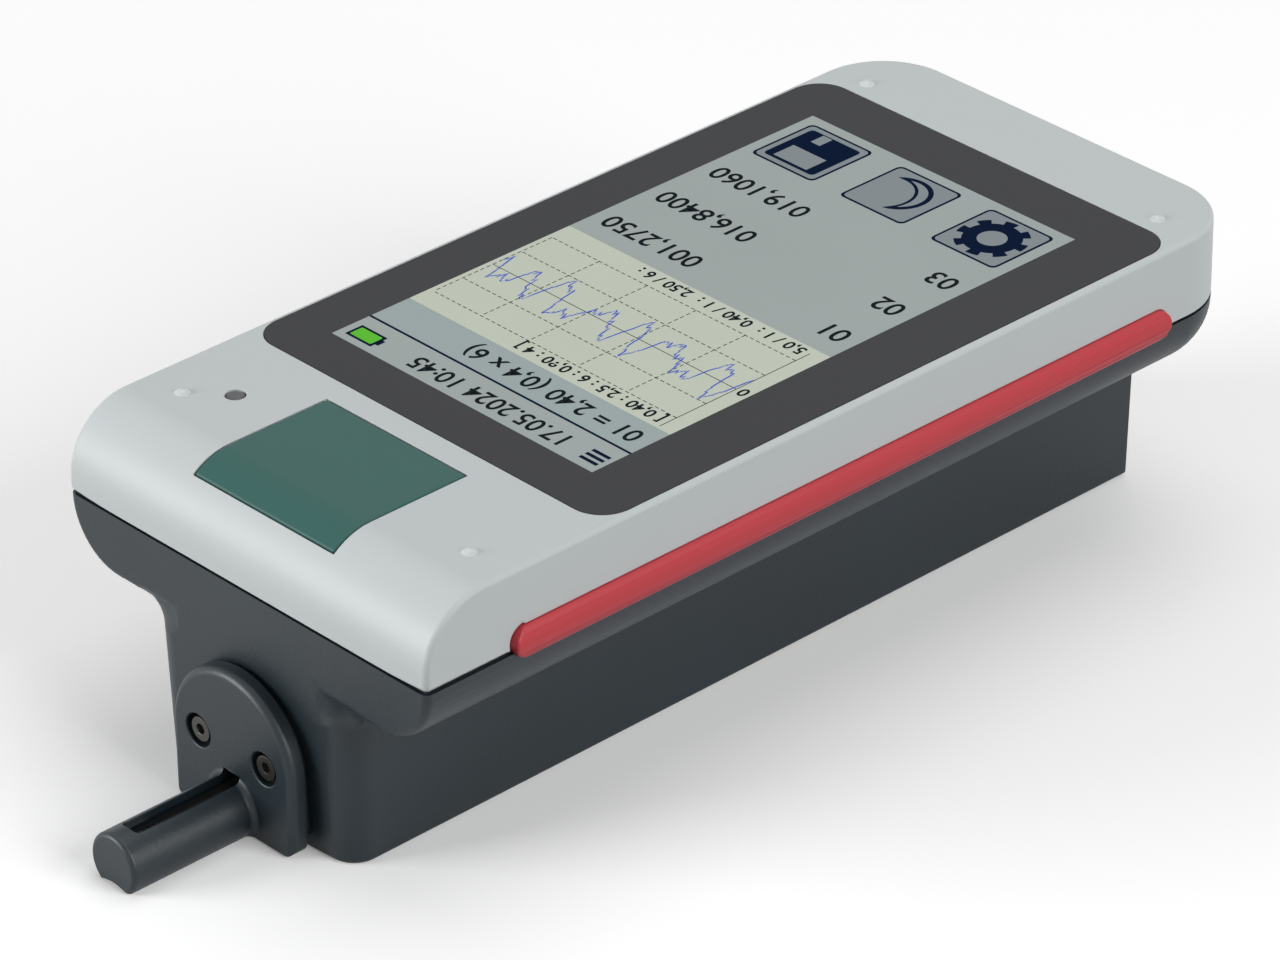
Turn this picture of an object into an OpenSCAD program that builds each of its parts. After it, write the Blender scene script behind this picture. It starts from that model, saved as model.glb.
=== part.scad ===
// Handheld surface roughness tester: a two-shell instrument case with a touch display,
// a start button and a motor drive that traces a skidded pick-up inside a guard finger.
// The base face is z = 0, the pick-up points along +Y and the display faces +Z.

/* [Case] */
// Length of the case without the guard finger
body_len = 160; // [150:1:175]
// Width of the case at the seam, without the side strips
body_w = 74.6; // [72:0.1:82]
// Height of the flat top face above the base face
body_h = 49.4; // [47:0.1:56]
// Height of the cover between the seam and the top face
cover_h = 12.8; // [12:0.1:14]
// Open height of the seam, filled by the gasket
seam_gap = 0.4; // [0.3:0.05:0.6]
// Depth of the shadow line at the seam
seam_reveal = 0.6; // [0.4:0.1:0.9]
// Wall thickness of both shells
wall = 2; // [1.6:0.1:2.4]
// Thickness of the cover's top wall
top_wall = 2.5; // [2.3:0.1:3]
// Radius of the case's rear corners, seen from above
rear_r = 12; // [11.6:0.1:14]
// Radius of the nose that rolls down to the front
nose_r = 10.5; // [9:0.1:11]
// Radius of the cover's edges, along the top and round the nose
edge_r = 0.9; // [0.5:0.05:1.2]
// Height of the cover's four locating nubs
nub_h = 0.6; // [0.4:0.05:0.9]
// Radius of the ball that shapes a nub
nub_r = 1.3; // [1.1:0.05:1.6]
// Distance of the nubs from the case's sides
nub_side = 7.55; // [6:0.05:9]
// Distance of the front nubs behind the case's front
nub_front = 14.85; // [13:0.1:16]
// Distance of the rear nubs before the case's rear
nub_rear = 11.2; // [9:0.1:12]

/* [Lower body] */
// Depth of the flange's underside below the seam
flange_d = 10.2; // [9.4:0.1:11.6]
// Upright part of the flange's edge, above its rolled part
flange_upright = 0.2; // [0.1:0.05:0.6]
// Width of the lower body under the flange
foot_w = 41.4; // [41:0.2:44]
// How far the lower body's sides and front lean in towards the base
foot_draft = 0.8; // [0.4:0.1:1.2]
// Radius of the lower body's front corners
foot_r = 5; // [4:0.1:6]
// Radius between the flange and the lower body
foot_fillet = 4.6; // [3:0.1:5]
// Distance of the lower body's rear wall before the case's rear
foot_rear = 5.5; // [4:0.1:7]
// Thickness of the base floor
floor_t = 2.2; // [2:0.1:2.6]
// Floor thickness left under the pick-up's channel
channel_t = 1.2; // [1:0.05:1.3]
// Width of the pick-up's channel in the floor
channel_w = 12; // [11:0.5:14]

/* [Display] */
// Width of the cover's rim beside the display glass
glass_side = 1; // [0.9:0.05:2]
// Distance of the glass before the case's rear
glass_rear = 14.65; // [14:0.05:17]
// Thickness of the display glass
glass_t = 1.5; // [1.2:0.1:1.6]
// Corner radius of the display glass
glass_r = 5; // [3:0.1:6]
// Distance of the glass behind the case's front
glass_front = 32.65; // [32:0.05:34]
// Gap around the glass
glass_gap = 0.12; // [0.08:0.02:0.16]
// How far the display module stays inside the glass at the sides
module_side = 2.9; // [2.4:0.1:4]
// How far the display module stays inside the glass at the ends
module_end = 3.65; // [3:0.05:5]
// Thickness of the display module
module_t = 2.8; // [2.4:0.1:3.2]
// Room around the display module in the cover
module_gap = 0.4; // [0.3:0.05:0.6]

/* [Start button and lamp] */
// Width of the start button
button_w = 28.8; // [26:0.2:30]
// Length of the start button, seen from above
button_len = 23.8; // [22:0.1:25]
// Distance of the button's front edge behind the case's front
button_front = 4.2; // [3.6:0.1:5]
// Thickness of the button's face
button_t = 1.6; // [1.4:0.1:2]
// Gap around the button
button_gap = 0.25; // [0.2:0.05:0.35]
// Stroke of the button down to its switch
button_stroke = 0.6; // [0.4:0.05:0.8]
// Clearance left over the switch at the end of the stroke
switch_clear = 0.1; // [0.05:0.05:0.2]
// Width of the button's retaining ears
ear_w = 1.4; // [1:0.1:2]
// Distance of the start switch behind the case's front
switch_front = 17; // [15:0.5:20]
// Diameter of the status lamp's light pipe
lamp_d = 3; // [2.6:0.1:3.4]
// Distance of the status lamp from the case's right side
lamp_side = 13.1; // [12:0.1:15]
// Distance of the status lamp behind the case's front
lamp_front = 19.8; // [18.5:0.1:21]

/* [Side strips] */
// Height of a side strip
strip_h = 4.9; // [4:0.1:5.4]
// Distance of the strip's rear end before the case's rear
strip_rear = 16.7; // [14.5:0.1:22]
// Distance of the strip's front end behind the case's front
strip_front = 15.4; // [14:0.1:20]
// How far the strips stand out of the case
strip_proud = 1.2; // [0.8:0.1:1.6]
// How far the strip's long edges lie below its crown
strip_crown = 0.7; // [0.4:0.05:0.8]
// Depth of the strips' groove in the case
strip_depth = 1.2; // [0.9:0.1:1.3]
// How far the strip reaches below the seam
strip_drop = 1.3; // [1:0.1:1.8]
// Gap around the strips in their groove
strip_gap = 0.06; // [0.04:0.01:0.1]

/* [Guard] */
// Width of the guard's plate
plate_w = 25.2; // [24:0.2:28]
// Height of the plate's top above the base face
plate_top = 24.6; // [23.6:0.1:25]
// Thickness of the guard's plate
plate_t = 2.6; // [2.4:0.1:3.4]
// Radius of the plate's front edge
plate_edge = 1.2; // [0.8:0.1:1.5]
// Radius of the plate's lower corners
plate_corner = 2; // [1.5:0.1:3]
// Clearance of the plate above the base face
plate_lift = 0.2; // [0.1:0.05:0.4]
// How far the plate's seat stands out of the front wall
seat_t = 0.9; // [0.6:0.05:1.1]
// How far the seat stays inside the plate's edge
seat_inset = 1.3; // [0.6:0.05:1.4]
// Radius of the guard finger
finger_r = 4.7; // [4.5:0.05:5]
// Length of the guard finger in front of its plate
finger_len = 21.5; // [21.2:0.1:24]
// Radius of the finger's front edge
finger_edge = 0.8; // [0.4:0.05:1.2]
// Height of the finger's axis above the base face
finger_h = 3.5; // [3.4:0.05:3.7]
// Radius of the finger's bore
finger_bore = 3.5; // [3.3:0.05:3.6]
// Closed length at the finger's tip
finger_tip = 3.1; // [2.8:0.1:3.3]
// Width of the slot along the finger's top
slot_w = 3.5; // [3:0.1:4]
// Corner radius at the slot's closed end
slot_corner = 0.9; // [0.5:0.05:1.3]
// How far the slot rises above the finger in the plate
slot_rise = 0.7; // [0.4:0.05:0.9]
// Rise of the hollow along the finger's underside
groove_rise = 0.7; // [0.4:0.05:0.9]
// Radius between finger and plate
finger_fillet = 1; // [0.6:0.1:1.5]
// Distance between the guard's two screws
guard_screw_span = 13.8; // [13:0.1:15]
// Height of the guard's screws above the base face
guard_screw_h = 12.5; // [12:0.1:14]

/* [Pick-up] */
// Radius of the pick-up tube
pickup_r = 2.2; // [2:0.05:2.3]
// Inner radius of the pick-up tube
pickup_bore = 1.6; // [1.4:0.05:1.7]
// Height of the pick-up's axis above the base face
pickup_h = 3.9; // [3.8:0.05:4.1]
// Gap between the pick-up's nose and the end of the finger's bore
pickup_nose_gap = 0.5; // [0.4:0.05:1]
// Length of the pick-up tube with its skid
pickup_len = 44; // [42:0.5:46]
// Length of the skid at the pick-up's nose
skid_len = 4.7; // [4:0.1:5.5]
// Clearance of the skid above the base face
skid_lift = 0.15; // [0.1:0.05:0.3]
// Width of the skid's runner
skid_w = 2.4; // [2:0.1:2.8]
// Running radius of the skid
skid_r = 25; // [15:1:40]
// Distance of the stylus tip behind the pick-up's nose
stylus_back = 2.7; // [2.2:0.1:3]
// Length of the stylus arm from its pivot to the tip
stylus_arm_len = 18.5; // [17:0.1:20]
// Radius of the stylus arm
stylus_r = 0.4; // [0.3:0.05:0.5]
// Clearance of the stylus tip above the base face
stylus_lift = 0.1; // [0.05:0.05:0.2]

/* [Drive] */
// Longest trace of the carriage
trace_len = 17.5; // [12:0.5:18]
// Length of the carriage
carriage_len = 14; // [13:0.5:15]
// Clearance of the carriage at both ends of its trace
carriage_clear = 0.6; // [0.4:0.1:1]
// Height of the lead screw's axis
screw_h = 17; // [16.5:0.1:17.5]
// Radius of the lead screw
screw_r = 1.5; // [1.3:0.05:1.6]
// Height of the guide rods' axes
rod_h = 13; // [12.8:0.1:13.4]
// Distance between the guide rods
rod_span = 22; // [21:0.2:23]
// Radius of the guide rods
rod_r = 1.5; // [1.3:0.05:1.6]
// Running clearance of shafts, rods and pins
run_clear = 0.05; // [0.03:0.01:0.08]
// Radius of the bearing bushes
bush_r = 2.6; // [2.4:0.05:2.8]
// Thickness of the chassis plates
chassis_t = 3; // [2.6:0.1:3.4]
// Room beside the chassis in the lower body
chassis_side = 1.9; // [1:0.1:2.4]
// Height of the chassis plates above the floor
chassis_h = 20; // [19.6:0.1:21]
// Height of the chassis rails
rail_h = 3; // [2.4:0.1:3.4]
// Width of the chassis rails
rail_w = 2.4; // [2:0.1:3]
// Distance of the chassis behind the case's front
chassis_front = 8; // [7.4:0.1:9]
// Radius of the drive motor
motor_r = 6; // [5:0.1:6.5]
// Length of the drive motor
motor_len = 25; // [20:0.5:26]
// Room for the coupling between motor plate and bearing plate
coupling_room = 6; // [5:0.1:7]

/* [Electronics] */
// Radius of the battery cell
cell_r = 9.15; // [8.5:0.05:9.3]
// Distance of the battery cell before the rear wall
cell_room = 2.6; // [2.4:0.1:8]
// Distance of the battery cell behind the motor
motor_room = 5; // [4:0.1:8]
// Thickness of the main board
board_t = 1.6; // [1.2:0.1:2]
// Height of the posts under the main board
post_h = 3.3; // [3:0.1:4]
// Distance of the main board from the case's sides
board_side = 6.3; // [6:0.1:7.5]
// Distance of the case screws from the case's sides
case_screw_side = 8.8; // [8.4:0.1:10]
// Distance of the front case screws behind the case's front
case_screw_front = 11; // [10.5:0.1:12]
// Distance of the rear case screws before the case's rear
case_screw_rear = 14; // [13:0.1:14.5]
// Radius of the case screws
case_screw_r = 1.4; // [1.2:0.05:1.5]

/* [Hidden] */

// Overlap of tool bodies that cut through a face
cut = 1;
$fn = 64;

cover_grey = [0.75, 0.77, 0.77];
case_dark = [0.21, 0.24, 0.26];
button_green = [0.25, 0.40, 0.37];
strip_red = [0.72, 0.22, 0.25];
steel = [0.72, 0.73, 0.75];
brass = [0.78, 0.62, 0.30];
black = [0.10, 0.10, 0.11];

// Case datums
y_front = body_len / 2;
y_rear = -body_len / 2;
half_w = body_w / 2;
seam_h = body_h - cover_h;
flange_h = seam_h - flange_d;
flange_r = flange_d - seam_gap / 2 - flange_upright;
cover_z = seam_h + seam_gap / 2;
base_z = seam_h - seam_gap / 2;
roof_z = body_h - top_wall;
glass_w = body_w - 2 * glass_side;
glass_len = body_len - glass_front - glass_rear;
glass_y = y_front - glass_front - glass_len / 2;
glass_z = body_h - glass_t;
module_w = glass_w - 2 * module_side;
module_len = glass_len - 2 * module_end;
module_z = glass_z - module_t;
axis_x = half_w - rear_r;
axis_y = y_rear + rear_r;
foot_y_rear = y_rear + foot_rear;
foot_half = foot_w / 2;
fillet_end = flange_h - foot_fillet;
inner_half = foot_half - foot_draft - wall;
inner_front = y_front - foot_draft - wall;
strip_len = body_len - strip_front - strip_rear;
strip_y = y_front - strip_front - strip_len / 2;
strip_z = seam_h - strip_drop + strip_h / 2;

// Board datums
flange_floor = flange_h + wall;
board_z = flange_floor + post_h;
board_top = board_z + board_t;
board_w = body_w - 2 * board_side;
board_front_room = 6;
board_rear_room = 7;
board_front = y_front - board_front_room;
board_rear = y_rear + board_rear_room;
board_len = board_front - board_rear;
board_corner = 7;
part_h = 4.5;
post_r = 3.2;
case_screws_at = [for (sx = [-1, 1], y = [y_front - case_screw_front, y_rear + case_screw_rear])
    [sx * (half_w - case_screw_side), y]];
head_depth = 2.8;
head_seat = flange_h + head_depth;
head_h = 1.8;
head_r = 2.5;
head_clear = 0.3;
screw_clear = 0.3;
pilot_end = 2.5;
pilot_top = roof_z - pilot_end;
screw_tip_room = 1;
switch_y = y_front - switch_front;
switch_h = 4.8;
lamp_x = half_w - lamp_side;
lamp_y = y_front - lamp_front;
lamp_sunk = 0.1;
led_h = 1.2;

// Button datums
button_y1 = y_front - button_front;
button_y0 = button_y1 - button_len;
stem_r = 2.4;
ear_t = 1.2;
ear_play = 0.15;

// Guard datums
seat_y = y_front + seat_t;
plate_y = seat_y + plate_t;
finger_y = plate_y + finger_len;
bore_end = finger_y - finger_tip;
plate_half = plate_w / 2;
plate_axis = plate_top - plate_half;
groove_half = sqrt(finger_r * finger_r - finger_h * finger_h);
groove_r = (groove_half * groove_half + groove_rise * groove_rise) / (2 * groove_rise);
guard_head_r = 1.9;
guard_recess_r = 2.55;
guard_web = 0.6;
guard_recess = plate_t - guard_web;
guard_sunk = 0.4;
guard_head_h = guard_recess - guard_sunk;
guard_shank_r = 1;
guard_shank_len = 6.5;
guard_boss_r = 2.6;

// Pick-up datums
nose_y = bore_end - pickup_nose_gap;
pickup_y = nose_y - pickup_len;
skid_y = nose_y - skid_len;
stylus_y = nose_y - stylus_back;
pivot_y = stylus_y - stylus_arm_len;
pin_r = 0.4;
bore_back = 9;
coil_len = 4;
coil_back = 8;
coil_clear = 0.4;
arm_back = 7;
stylus_room = 1.1;
front_hole_r = 3.2;
front_hole_rise = 0.1;
front_hole_h = pickup_h + front_hole_rise;

// Drive datums
chassis_y1 = y_front - chassis_front;
chassis_w = 2 * (inner_half - chassis_side);
front_plate_y = chassis_y1 - chassis_t;
carriage_rest = 2;
carriage_y1 = front_plate_y - carriage_clear - carriage_rest;
carriage_y0 = carriage_y1 - carriage_len;
bearing_y1 = carriage_y0 - trace_len - carriage_clear;
bearing_y0 = bearing_y1 - chassis_t;
motor_y1 = bearing_y0 - coupling_room;
motor_y0 = motor_y1 - motor_len;
motor_plate = 2.5;
chassis_z1 = floor_t + chassis_h;
rod_half = rod_span / 2;
shaft_r = 1;
holder_w = 8.4;
holder_gap = 0.3;
holder_ear = 2;
holder_ear_half = 3;
holder_pin_r = 0.8;
holder_pin_in = 6;
holder_pin_y = carriage_y0 + holder_pin_in;
holder_pin_rise = 1.4;
holder_pin_h = pickup_h + pickup_r + holder_pin_rise;
holder_back = 4;
holder_fore = 10;
holder_y0 = holder_pin_y - holder_back;
holder_y1 = holder_pin_y + holder_fore;
holder_skin = 0.1;
holder_z0 = pickup_h - pickup_r - holder_skin;
holder_cap = 1.6;
holder_z1 = holder_pin_h + holder_cap;
holder_swing = 0.5;
carriage_z0 = holder_z1 + holder_swing;
carriage_cap = 2;
carriage_z1 = screw_h + bush_r + carriage_cap;
carriage_wall = 1.2;
carriage_half = rod_half + bush_r + carriage_wall;
passage_room = 0.7;
channel_room = 3;
shaft_join = (motor_y1 + motor_plate + bearing_y0) / 2;
chassis_screw_r = 0.8;
chassis_screw_in = 1;
chassis_screw_head = 1.5;
chassis_screw_room = 0.3;
chassis_screws_at = [for (sx = [-1, 1], y = [(motor_y1 + motor_plate + bearing_y0) / 2,
    front_plate_y - chassis_screw_head - chassis_screw_room])
    [sx * (chassis_w / 2 - rail_w / 2), y]];

// Battery datums
cell_y1 = motor_y0 - motor_room;
cell_y0 = foot_y_rear + wall + cell_room;
cell_lift = 1.2;
cell_h = floor_t + cell_lift + cell_r;
contact_t = 0.6;
contact_half = 4;
cradle_end = 1.4;
cradle_wall = 1.6;
cradle_open = 2;
cell_clear = 0.1;
socket_x = 12.6;
socket_rise = 7.85;
socket_h = cell_h + socket_rise;
socket_w = 8.9;
socket_t = 3.2;
socket_len = 7.2;
socket_rim = 0.8;
socket_play = 0.1;
socket_sunk = 0.2;
cradle_gap = 0.45;
cradle_top = socket_h - socket_t / 2 - socket_rim - cradle_gap;

// Shared shapes

// Places children on both sides of the centre plane
module both_sides() {
    children();
    mirror([1, 0, 0]) children();
}

// A cylinder along +Y that starts at y0
module rod_y(r, y0, y1, x = 0, z = 0) {
    translate([x, y0, z]) rotate([-90, 0, 0]) cylinder(r = r, h = y1 - y0);
}

// A cylinder along +X that is centred on the centre plane
module rod_x(r, len, y, z) {
    translate([-len / 2, y, z]) rotate([0, 90, 0]) cylinder(r = r, h = len);
}

// A box given by its low and high corners
module box(low, high) {
    translate(low) cube(high - low);
}

// A 2D rectangle with four round corners, centred
module round_rect(w, l, r) {
    union() {
        square([w - 2 * r, l], center = true);
        square([w, l - 2 * r], center = true);
        for (sx = [-1, 1], sy = [-1, 1])
            translate([sx * (w / 2 - r), sy * (l / 2 - r)]) circle(r = r);
    }
}

// A 2D slot with full round ends along Y, centred
module slot_2d(w, l) {
    union() {
        square([w, l - w], center = true);
        for (sy = [-1, 1]) translate([0, sy * (l - w) / 2]) circle(r = w / 2);
    }
}

// Stands a 2D shape drawn in (x, z) upright and sweeps it along Y from y0 to y1
module sweep_y(y0, y1) {
    translate([0, y1, 0]) rotate([90, 0, 0]) linear_extrude(y1 - y0) children();
}

// Stands a 2D shape drawn in (y, z) upright and sweeps it along X from x0 to x1
module sweep_x(x0, x1) {
    translate([x0, 0, 0]) rotate([90, 0, 90]) linear_extrude(x1 - x0) children();
}

// The case's outline seen from above: square front, round rear corners
module plan(inset) {
    union() {
        translate([inset - half_w, axis_y])
            square([body_w - 2 * inset, body_len - rear_r - inset]);
        translate([-axis_x, y_rear + inset]) square([2 * axis_x, rear_r]);
        for (sx = [-1, 1]) translate([sx * axis_x, axis_y]) circle(r = rear_r - inset);
    }
}

// Runs an edge section, drawn as (distance from the corner axis, height), round the case's
// rear and along both sides, up to y1
module round_case(y1, z0, z1) {
    union() {
        box([-axis_x, axis_y, z0], [axis_x, y1, z1]);
        both_sides() translate([axis_x, 0, 0]) sweep_y(axis_y, y1) children();
        translate([-axis_x, axis_y, 0]) rotate([90, 0, 90]) linear_extrude(2 * axis_x)
            mirror([1, 0]) children();
        for (k = [0, 1]) translate([k == 0 ? axis_x : -axis_x, axis_y, 0])
            rotate([0, 0, k == 0 ? -90 : 180]) rotate_extrude(angle = 90) children();
    }
}

// Top cover: light upper shell

// Section of the cover's edge with its rounded top
module cover_edge() {
    union() {
        translate([0, cover_z]) square([rear_r - edge_r, body_h - cover_z]);
        translate([0, cover_z]) square([rear_r, body_h - edge_r - cover_z]);
        translate([rear_r - edge_r, body_h - edge_r]) circle(r = edge_r);
    }
}

// Half section across the nose, drawn as (distance from the nose axis, distance from centre)
module nose_section() {
    union() {
        translate([0, -half_w]) square([nose_r - edge_r, body_w]);
        translate([0, edge_r - half_w]) square([nose_r, body_w - 2 * edge_r]);
        for (sy = [-1, 1]) translate([nose_r - edge_r, sy * (half_w - edge_r)]) circle(r = edge_r);
    }
}

// The cover's outer form: its length, the nose rolled about its axis and the upright front
module cover_form() {
    roll_y = y_front - nose_r;
    roll_z = body_h - nose_r;
    union() {
        round_case(roll_y, cover_z, body_h) cover_edge();
        translate([0, roll_y, roll_z]) rotate([0, 90, 0]) rotate([0, 0, 90])
            rotate_extrude(angle = 90) nose_section();
        translate([0, roll_y, cover_z]) linear_extrude(roll_z - cover_z) rotate(90) mirror([0, 1])
            nose_section();
    }
}

// The strips' groove, on one side
module strip_groove() {
    strip_block(half_w - strip_depth, half_w + strip_proud, strip_gap);
}

module strip_block(x0, x1, gap) {
    translate([x0, strip_y, strip_z]) rotate([90, 0, 90]) linear_extrude(x1 - x0)
        rotate(90) slot_2d(strip_h + 2 * gap, strip_len + 2 * gap);
}

// A strip with its crowned outer face
module strip_form() {
    crown_r = (strip_h * strip_h / 4 + strip_crown * strip_crown) / (2 * strip_crown);
    crown_x = half_w + strip_proud;
    intersection() {
        strip_block(half_w - strip_depth, crown_x, 0);
        rod_y(crown_r, strip_y - strip_len, strip_y + strip_len, crown_x - crown_r, strip_z);
    }
}

module button_opening(gap) {
    box([-button_w / 2 - gap, button_y0 - gap, cover_z],
        [button_w / 2 + gap, button_y1 + gap, body_h + cut]);
}

module nubs() {
    for (sx = [-1, 1], y = [y_front - nub_front, y_rear + nub_rear])
        translate([sx * (half_w - nub_side), y, body_h + nub_h - nub_r]) sphere(r = nub_r);
}

module cover_posts() {
    for (p = case_screws_at) translate([p[0], p[1], board_top])
        cylinder(r = post_r, h = roof_z - board_top + top_wall / 2);
}

module top_cover() {
    color(cover_grey) difference() {
        union() {
            difference() {
                cover_form();
                translate([0, 0, -cut]) intersection() {
                    round_case(y_front - wall, cover_z, roof_z + cut) cover_edge_inner();
                    sweep_x(-half_w, half_w) inner_nose();
                }
            }
            nubs();
            cover_posts();
        }
        for (p = case_screws_at) translate([p[0], p[1], board_top - cut])
            cylinder(r = case_screw_r + run_clear, h = pilot_top - board_top + cut);
        translate([0, glass_y, glass_z]) linear_extrude(glass_t + cut)
            round_rect(glass_w + 2 * glass_gap, glass_len + 2 * glass_gap, glass_r + glass_gap);
        translate([0, glass_y, module_z - cut]) linear_extrude(module_t + 2 * cut)
            square([module_w + 2 * module_gap, module_len + 2 * module_gap], center = true);
        button_opening(button_gap);
        translate([lamp_x, lamp_y, roof_z - cut])
            cylinder(r = lamp_d / 2 + run_clear, h = top_wall + 2 * cut);
        both_sides() strip_groove();
    }
}

// Inner section of the cover: straight walls, one cut lower so that it opens downwards
module cover_edge_inner() {
    translate([0, cover_z]) square([rear_r - wall, roof_z + cut - cover_z]);
}

module inner_nose() {
    union() {
        translate([y_rear, cover_z - cut])
            square([body_len - nose_r, roof_z + 2 * cut - cover_z]);
        translate([y_front - nose_r, cover_z - cut])
            square([nose_r - wall, body_h - nose_r - cover_z + 2 * cut]);
        translate([y_front - nose_r, body_h - nose_r + cut]) circle(r = nose_r - top_wall);
    }
}

// Display

module display_glass() {
    color(black) translate([0, glass_y, glass_z]) linear_extrude(glass_t)
        round_rect(glass_w, glass_len, glass_r);
}

module display_module() {
    color(steel) translate([0, glass_y, module_z]) linear_extrude(module_t)
        square([module_w, module_len], center = true);
}

// Start button: a slice of the case's own top surface with a stem and two ears

module start_button() {
    ear_z = roof_z - ear_play;
    ear_y = (button_y0 + button_y1 - nose_r) / 2;
    ear_len = button_len - nose_r;
    color(button_green) union() {
        intersection() {
            difference() {
                cover_form();
                translate([0, 0, -button_t]) cover_form();
            }
            button_opening(0);
        }
        box([-button_w / 2, ear_y - ear_len / 2, ear_z - ear_t],
            [button_w / 2, ear_y + ear_len / 2, body_h - button_t]);
        box([-button_w / 2 - ear_w, ear_y - ear_len / 2, ear_z - ear_t],
            [button_w / 2 + ear_w, ear_y + ear_len / 2, ear_z]);
        translate([0, switch_y, board_top + switch_h + button_stroke + switch_clear])
            cylinder(r = stem_r, h = ear_z - board_top - switch_h - button_stroke - switch_clear);
    }
}

module start_switch() {
    body_side = 6;
    cap_r = 1.75;
    cap_h = 1.3;
    color(black) union() {
        translate([-body_side / 2, switch_y - body_side / 2, board_top])
            cube([body_side, body_side, switch_h - cap_h]);
        translate([0, switch_y, board_top]) cylinder(r = cap_r, h = switch_h);
    }
}

module led_light_pipe() {
    collar_h = 1;
    collar_w = 0.8;
    color([0.85, 0.86, 0.85]) union() {
        translate([lamp_x, lamp_y, board_top + led_h])
            cylinder(r = lamp_d / 2, h = body_h - lamp_sunk - board_top - led_h);
        translate([lamp_x, lamp_y, roof_z - collar_h])
            cylinder(r = lamp_d / 2 + collar_w, h = collar_h);
    }
}

module status_led() {
    led_w = 3.2;
    led_d = 1.6;
    color("white") translate([lamp_x - led_w / 2, lamp_y - led_d / 2, board_top])
        cube([led_w, led_d, led_h]);
}

// Side strips and gasket

module side_strip_left() {
    color(strip_red) mirror([1, 0, 0]) strip_form();
}

module side_strip_right() {
    color(strip_red) strip_form();
}

module case_gasket() {
    color(black) difference() {
        translate([0, 0, base_z]) linear_extrude(seam_gap) plan(seam_reveal);
        translate([0, 0, base_z - cut]) linear_extrude(seam_gap + 2 * cut) plan(wall);
        both_sides() strip_groove();
    }
}

// Base housing: dark lower shell with flange and lower body

// Section of the flange's rolled edge
module flange_edge(inset) {
    u = rear_r - flange_r;
    z = flange_h + flange_r;
    union() {
        translate([0, flange_h + inset]) square([u, base_z - flange_h - inset]);
        translate([0, z]) square([rear_r - inset, base_z - z]);
        intersection() {
            translate([u, z]) circle(r = flange_r - inset);
            translate([0, flange_h]) square([rear_r, flange_r]);
        }
    }
}

// Half section of the lower body: upright below the flange, leaning further down
module foot_side(reach) {
    polygon([[0, 0], [reach - foot_draft, 0], [reach, fillet_end], [reach, flange_h + cut],
        [0, flange_h + cut]]);
}

module foot_form() {
    corner_x = foot_half - foot_r;
    corner_y = y_front - foot_r;
    union() {
        both_sides() sweep_y(foot_y_rear, corner_y) foot_side(foot_half);
        translate([-corner_x, 0, 0]) rotate([90, 0, 90]) linear_extrude(2 * corner_x)
            union() {
                square([corner_y, flange_h]);
                translate([corner_y, 0]) foot_side(foot_r);
            }
        for (sx = [-1, 1]) translate([sx * corner_x, corner_y, 0]) {
            cylinder(r1 = foot_r - foot_draft, r2 = foot_r, h = fillet_end);
            translate([0, 0, fillet_end]) cylinder(r = foot_r, h = foot_fillet + cut);
        }
    }
}

// Hollow fillet section, drawn as (distance from the wall, height)
module fillet_section(depth) {
    difference() {
        translate([-depth, fillet_end]) square([foot_fillet + depth, foot_fillet + cut]);
        translate([foot_fillet, fillet_end]) circle(r = foot_fillet);
    }
}

// Fillet between flange and lower body along both sides and round the front corners
module foot_fillets() {
    corner_y = y_front - foot_r;
    intersection() {
        union() {
            both_sides() translate([foot_half, 0, 0])
                sweep_y(foot_y_rear, corner_y) fillet_section(cut);
            for (k = [0, 1])
                translate([(k == 0 ? 1 : -1) * (foot_half - foot_r), corner_y, 0])
                    rotate([0, 0, k == 0 ? 0 : 90]) rotate_extrude(angle = 90)
                        translate([foot_r, 0]) fillet_section(cut);
        }
        box([-half_w, y_rear, 0], [half_w, y_front, flange_h + cut]);
    }
}

// Outline of the guard's plate, or of its seat, drawn as (x, z)
module plate_outline(inset) {
    half = plate_half - inset;
    union() {
        intersection() {
            translate([0, plate_axis]) circle(r = half);
            translate([-half, plate_axis]) square([2 * half, half]);
        }
        translate([-half, plate_lift + plate_corner])
            square([2 * half, plate_axis - plate_lift - plate_corner]);
        translate([plate_corner - half, plate_lift + inset])
            square([2 * (half - plate_corner), plate_corner]);
        for (sx = [-1, 1]) translate([sx * (half - plate_corner), plate_lift + plate_corner])
            circle(r = plate_corner - inset);
    }
}

module base_posts() {
    for (p = case_screws_at) translate([p[0], p[1], flange_h + 1])
        cylinder(r = post_r, h = board_z - flange_h - 1);
}

module guard_bosses() {
    for (sx = [-1, 1])
        rod_y(guard_boss_r, y_front - guard_shank_len, y_front - wall + cut,
            sx * guard_screw_span / 2, guard_screw_h);
}

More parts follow.
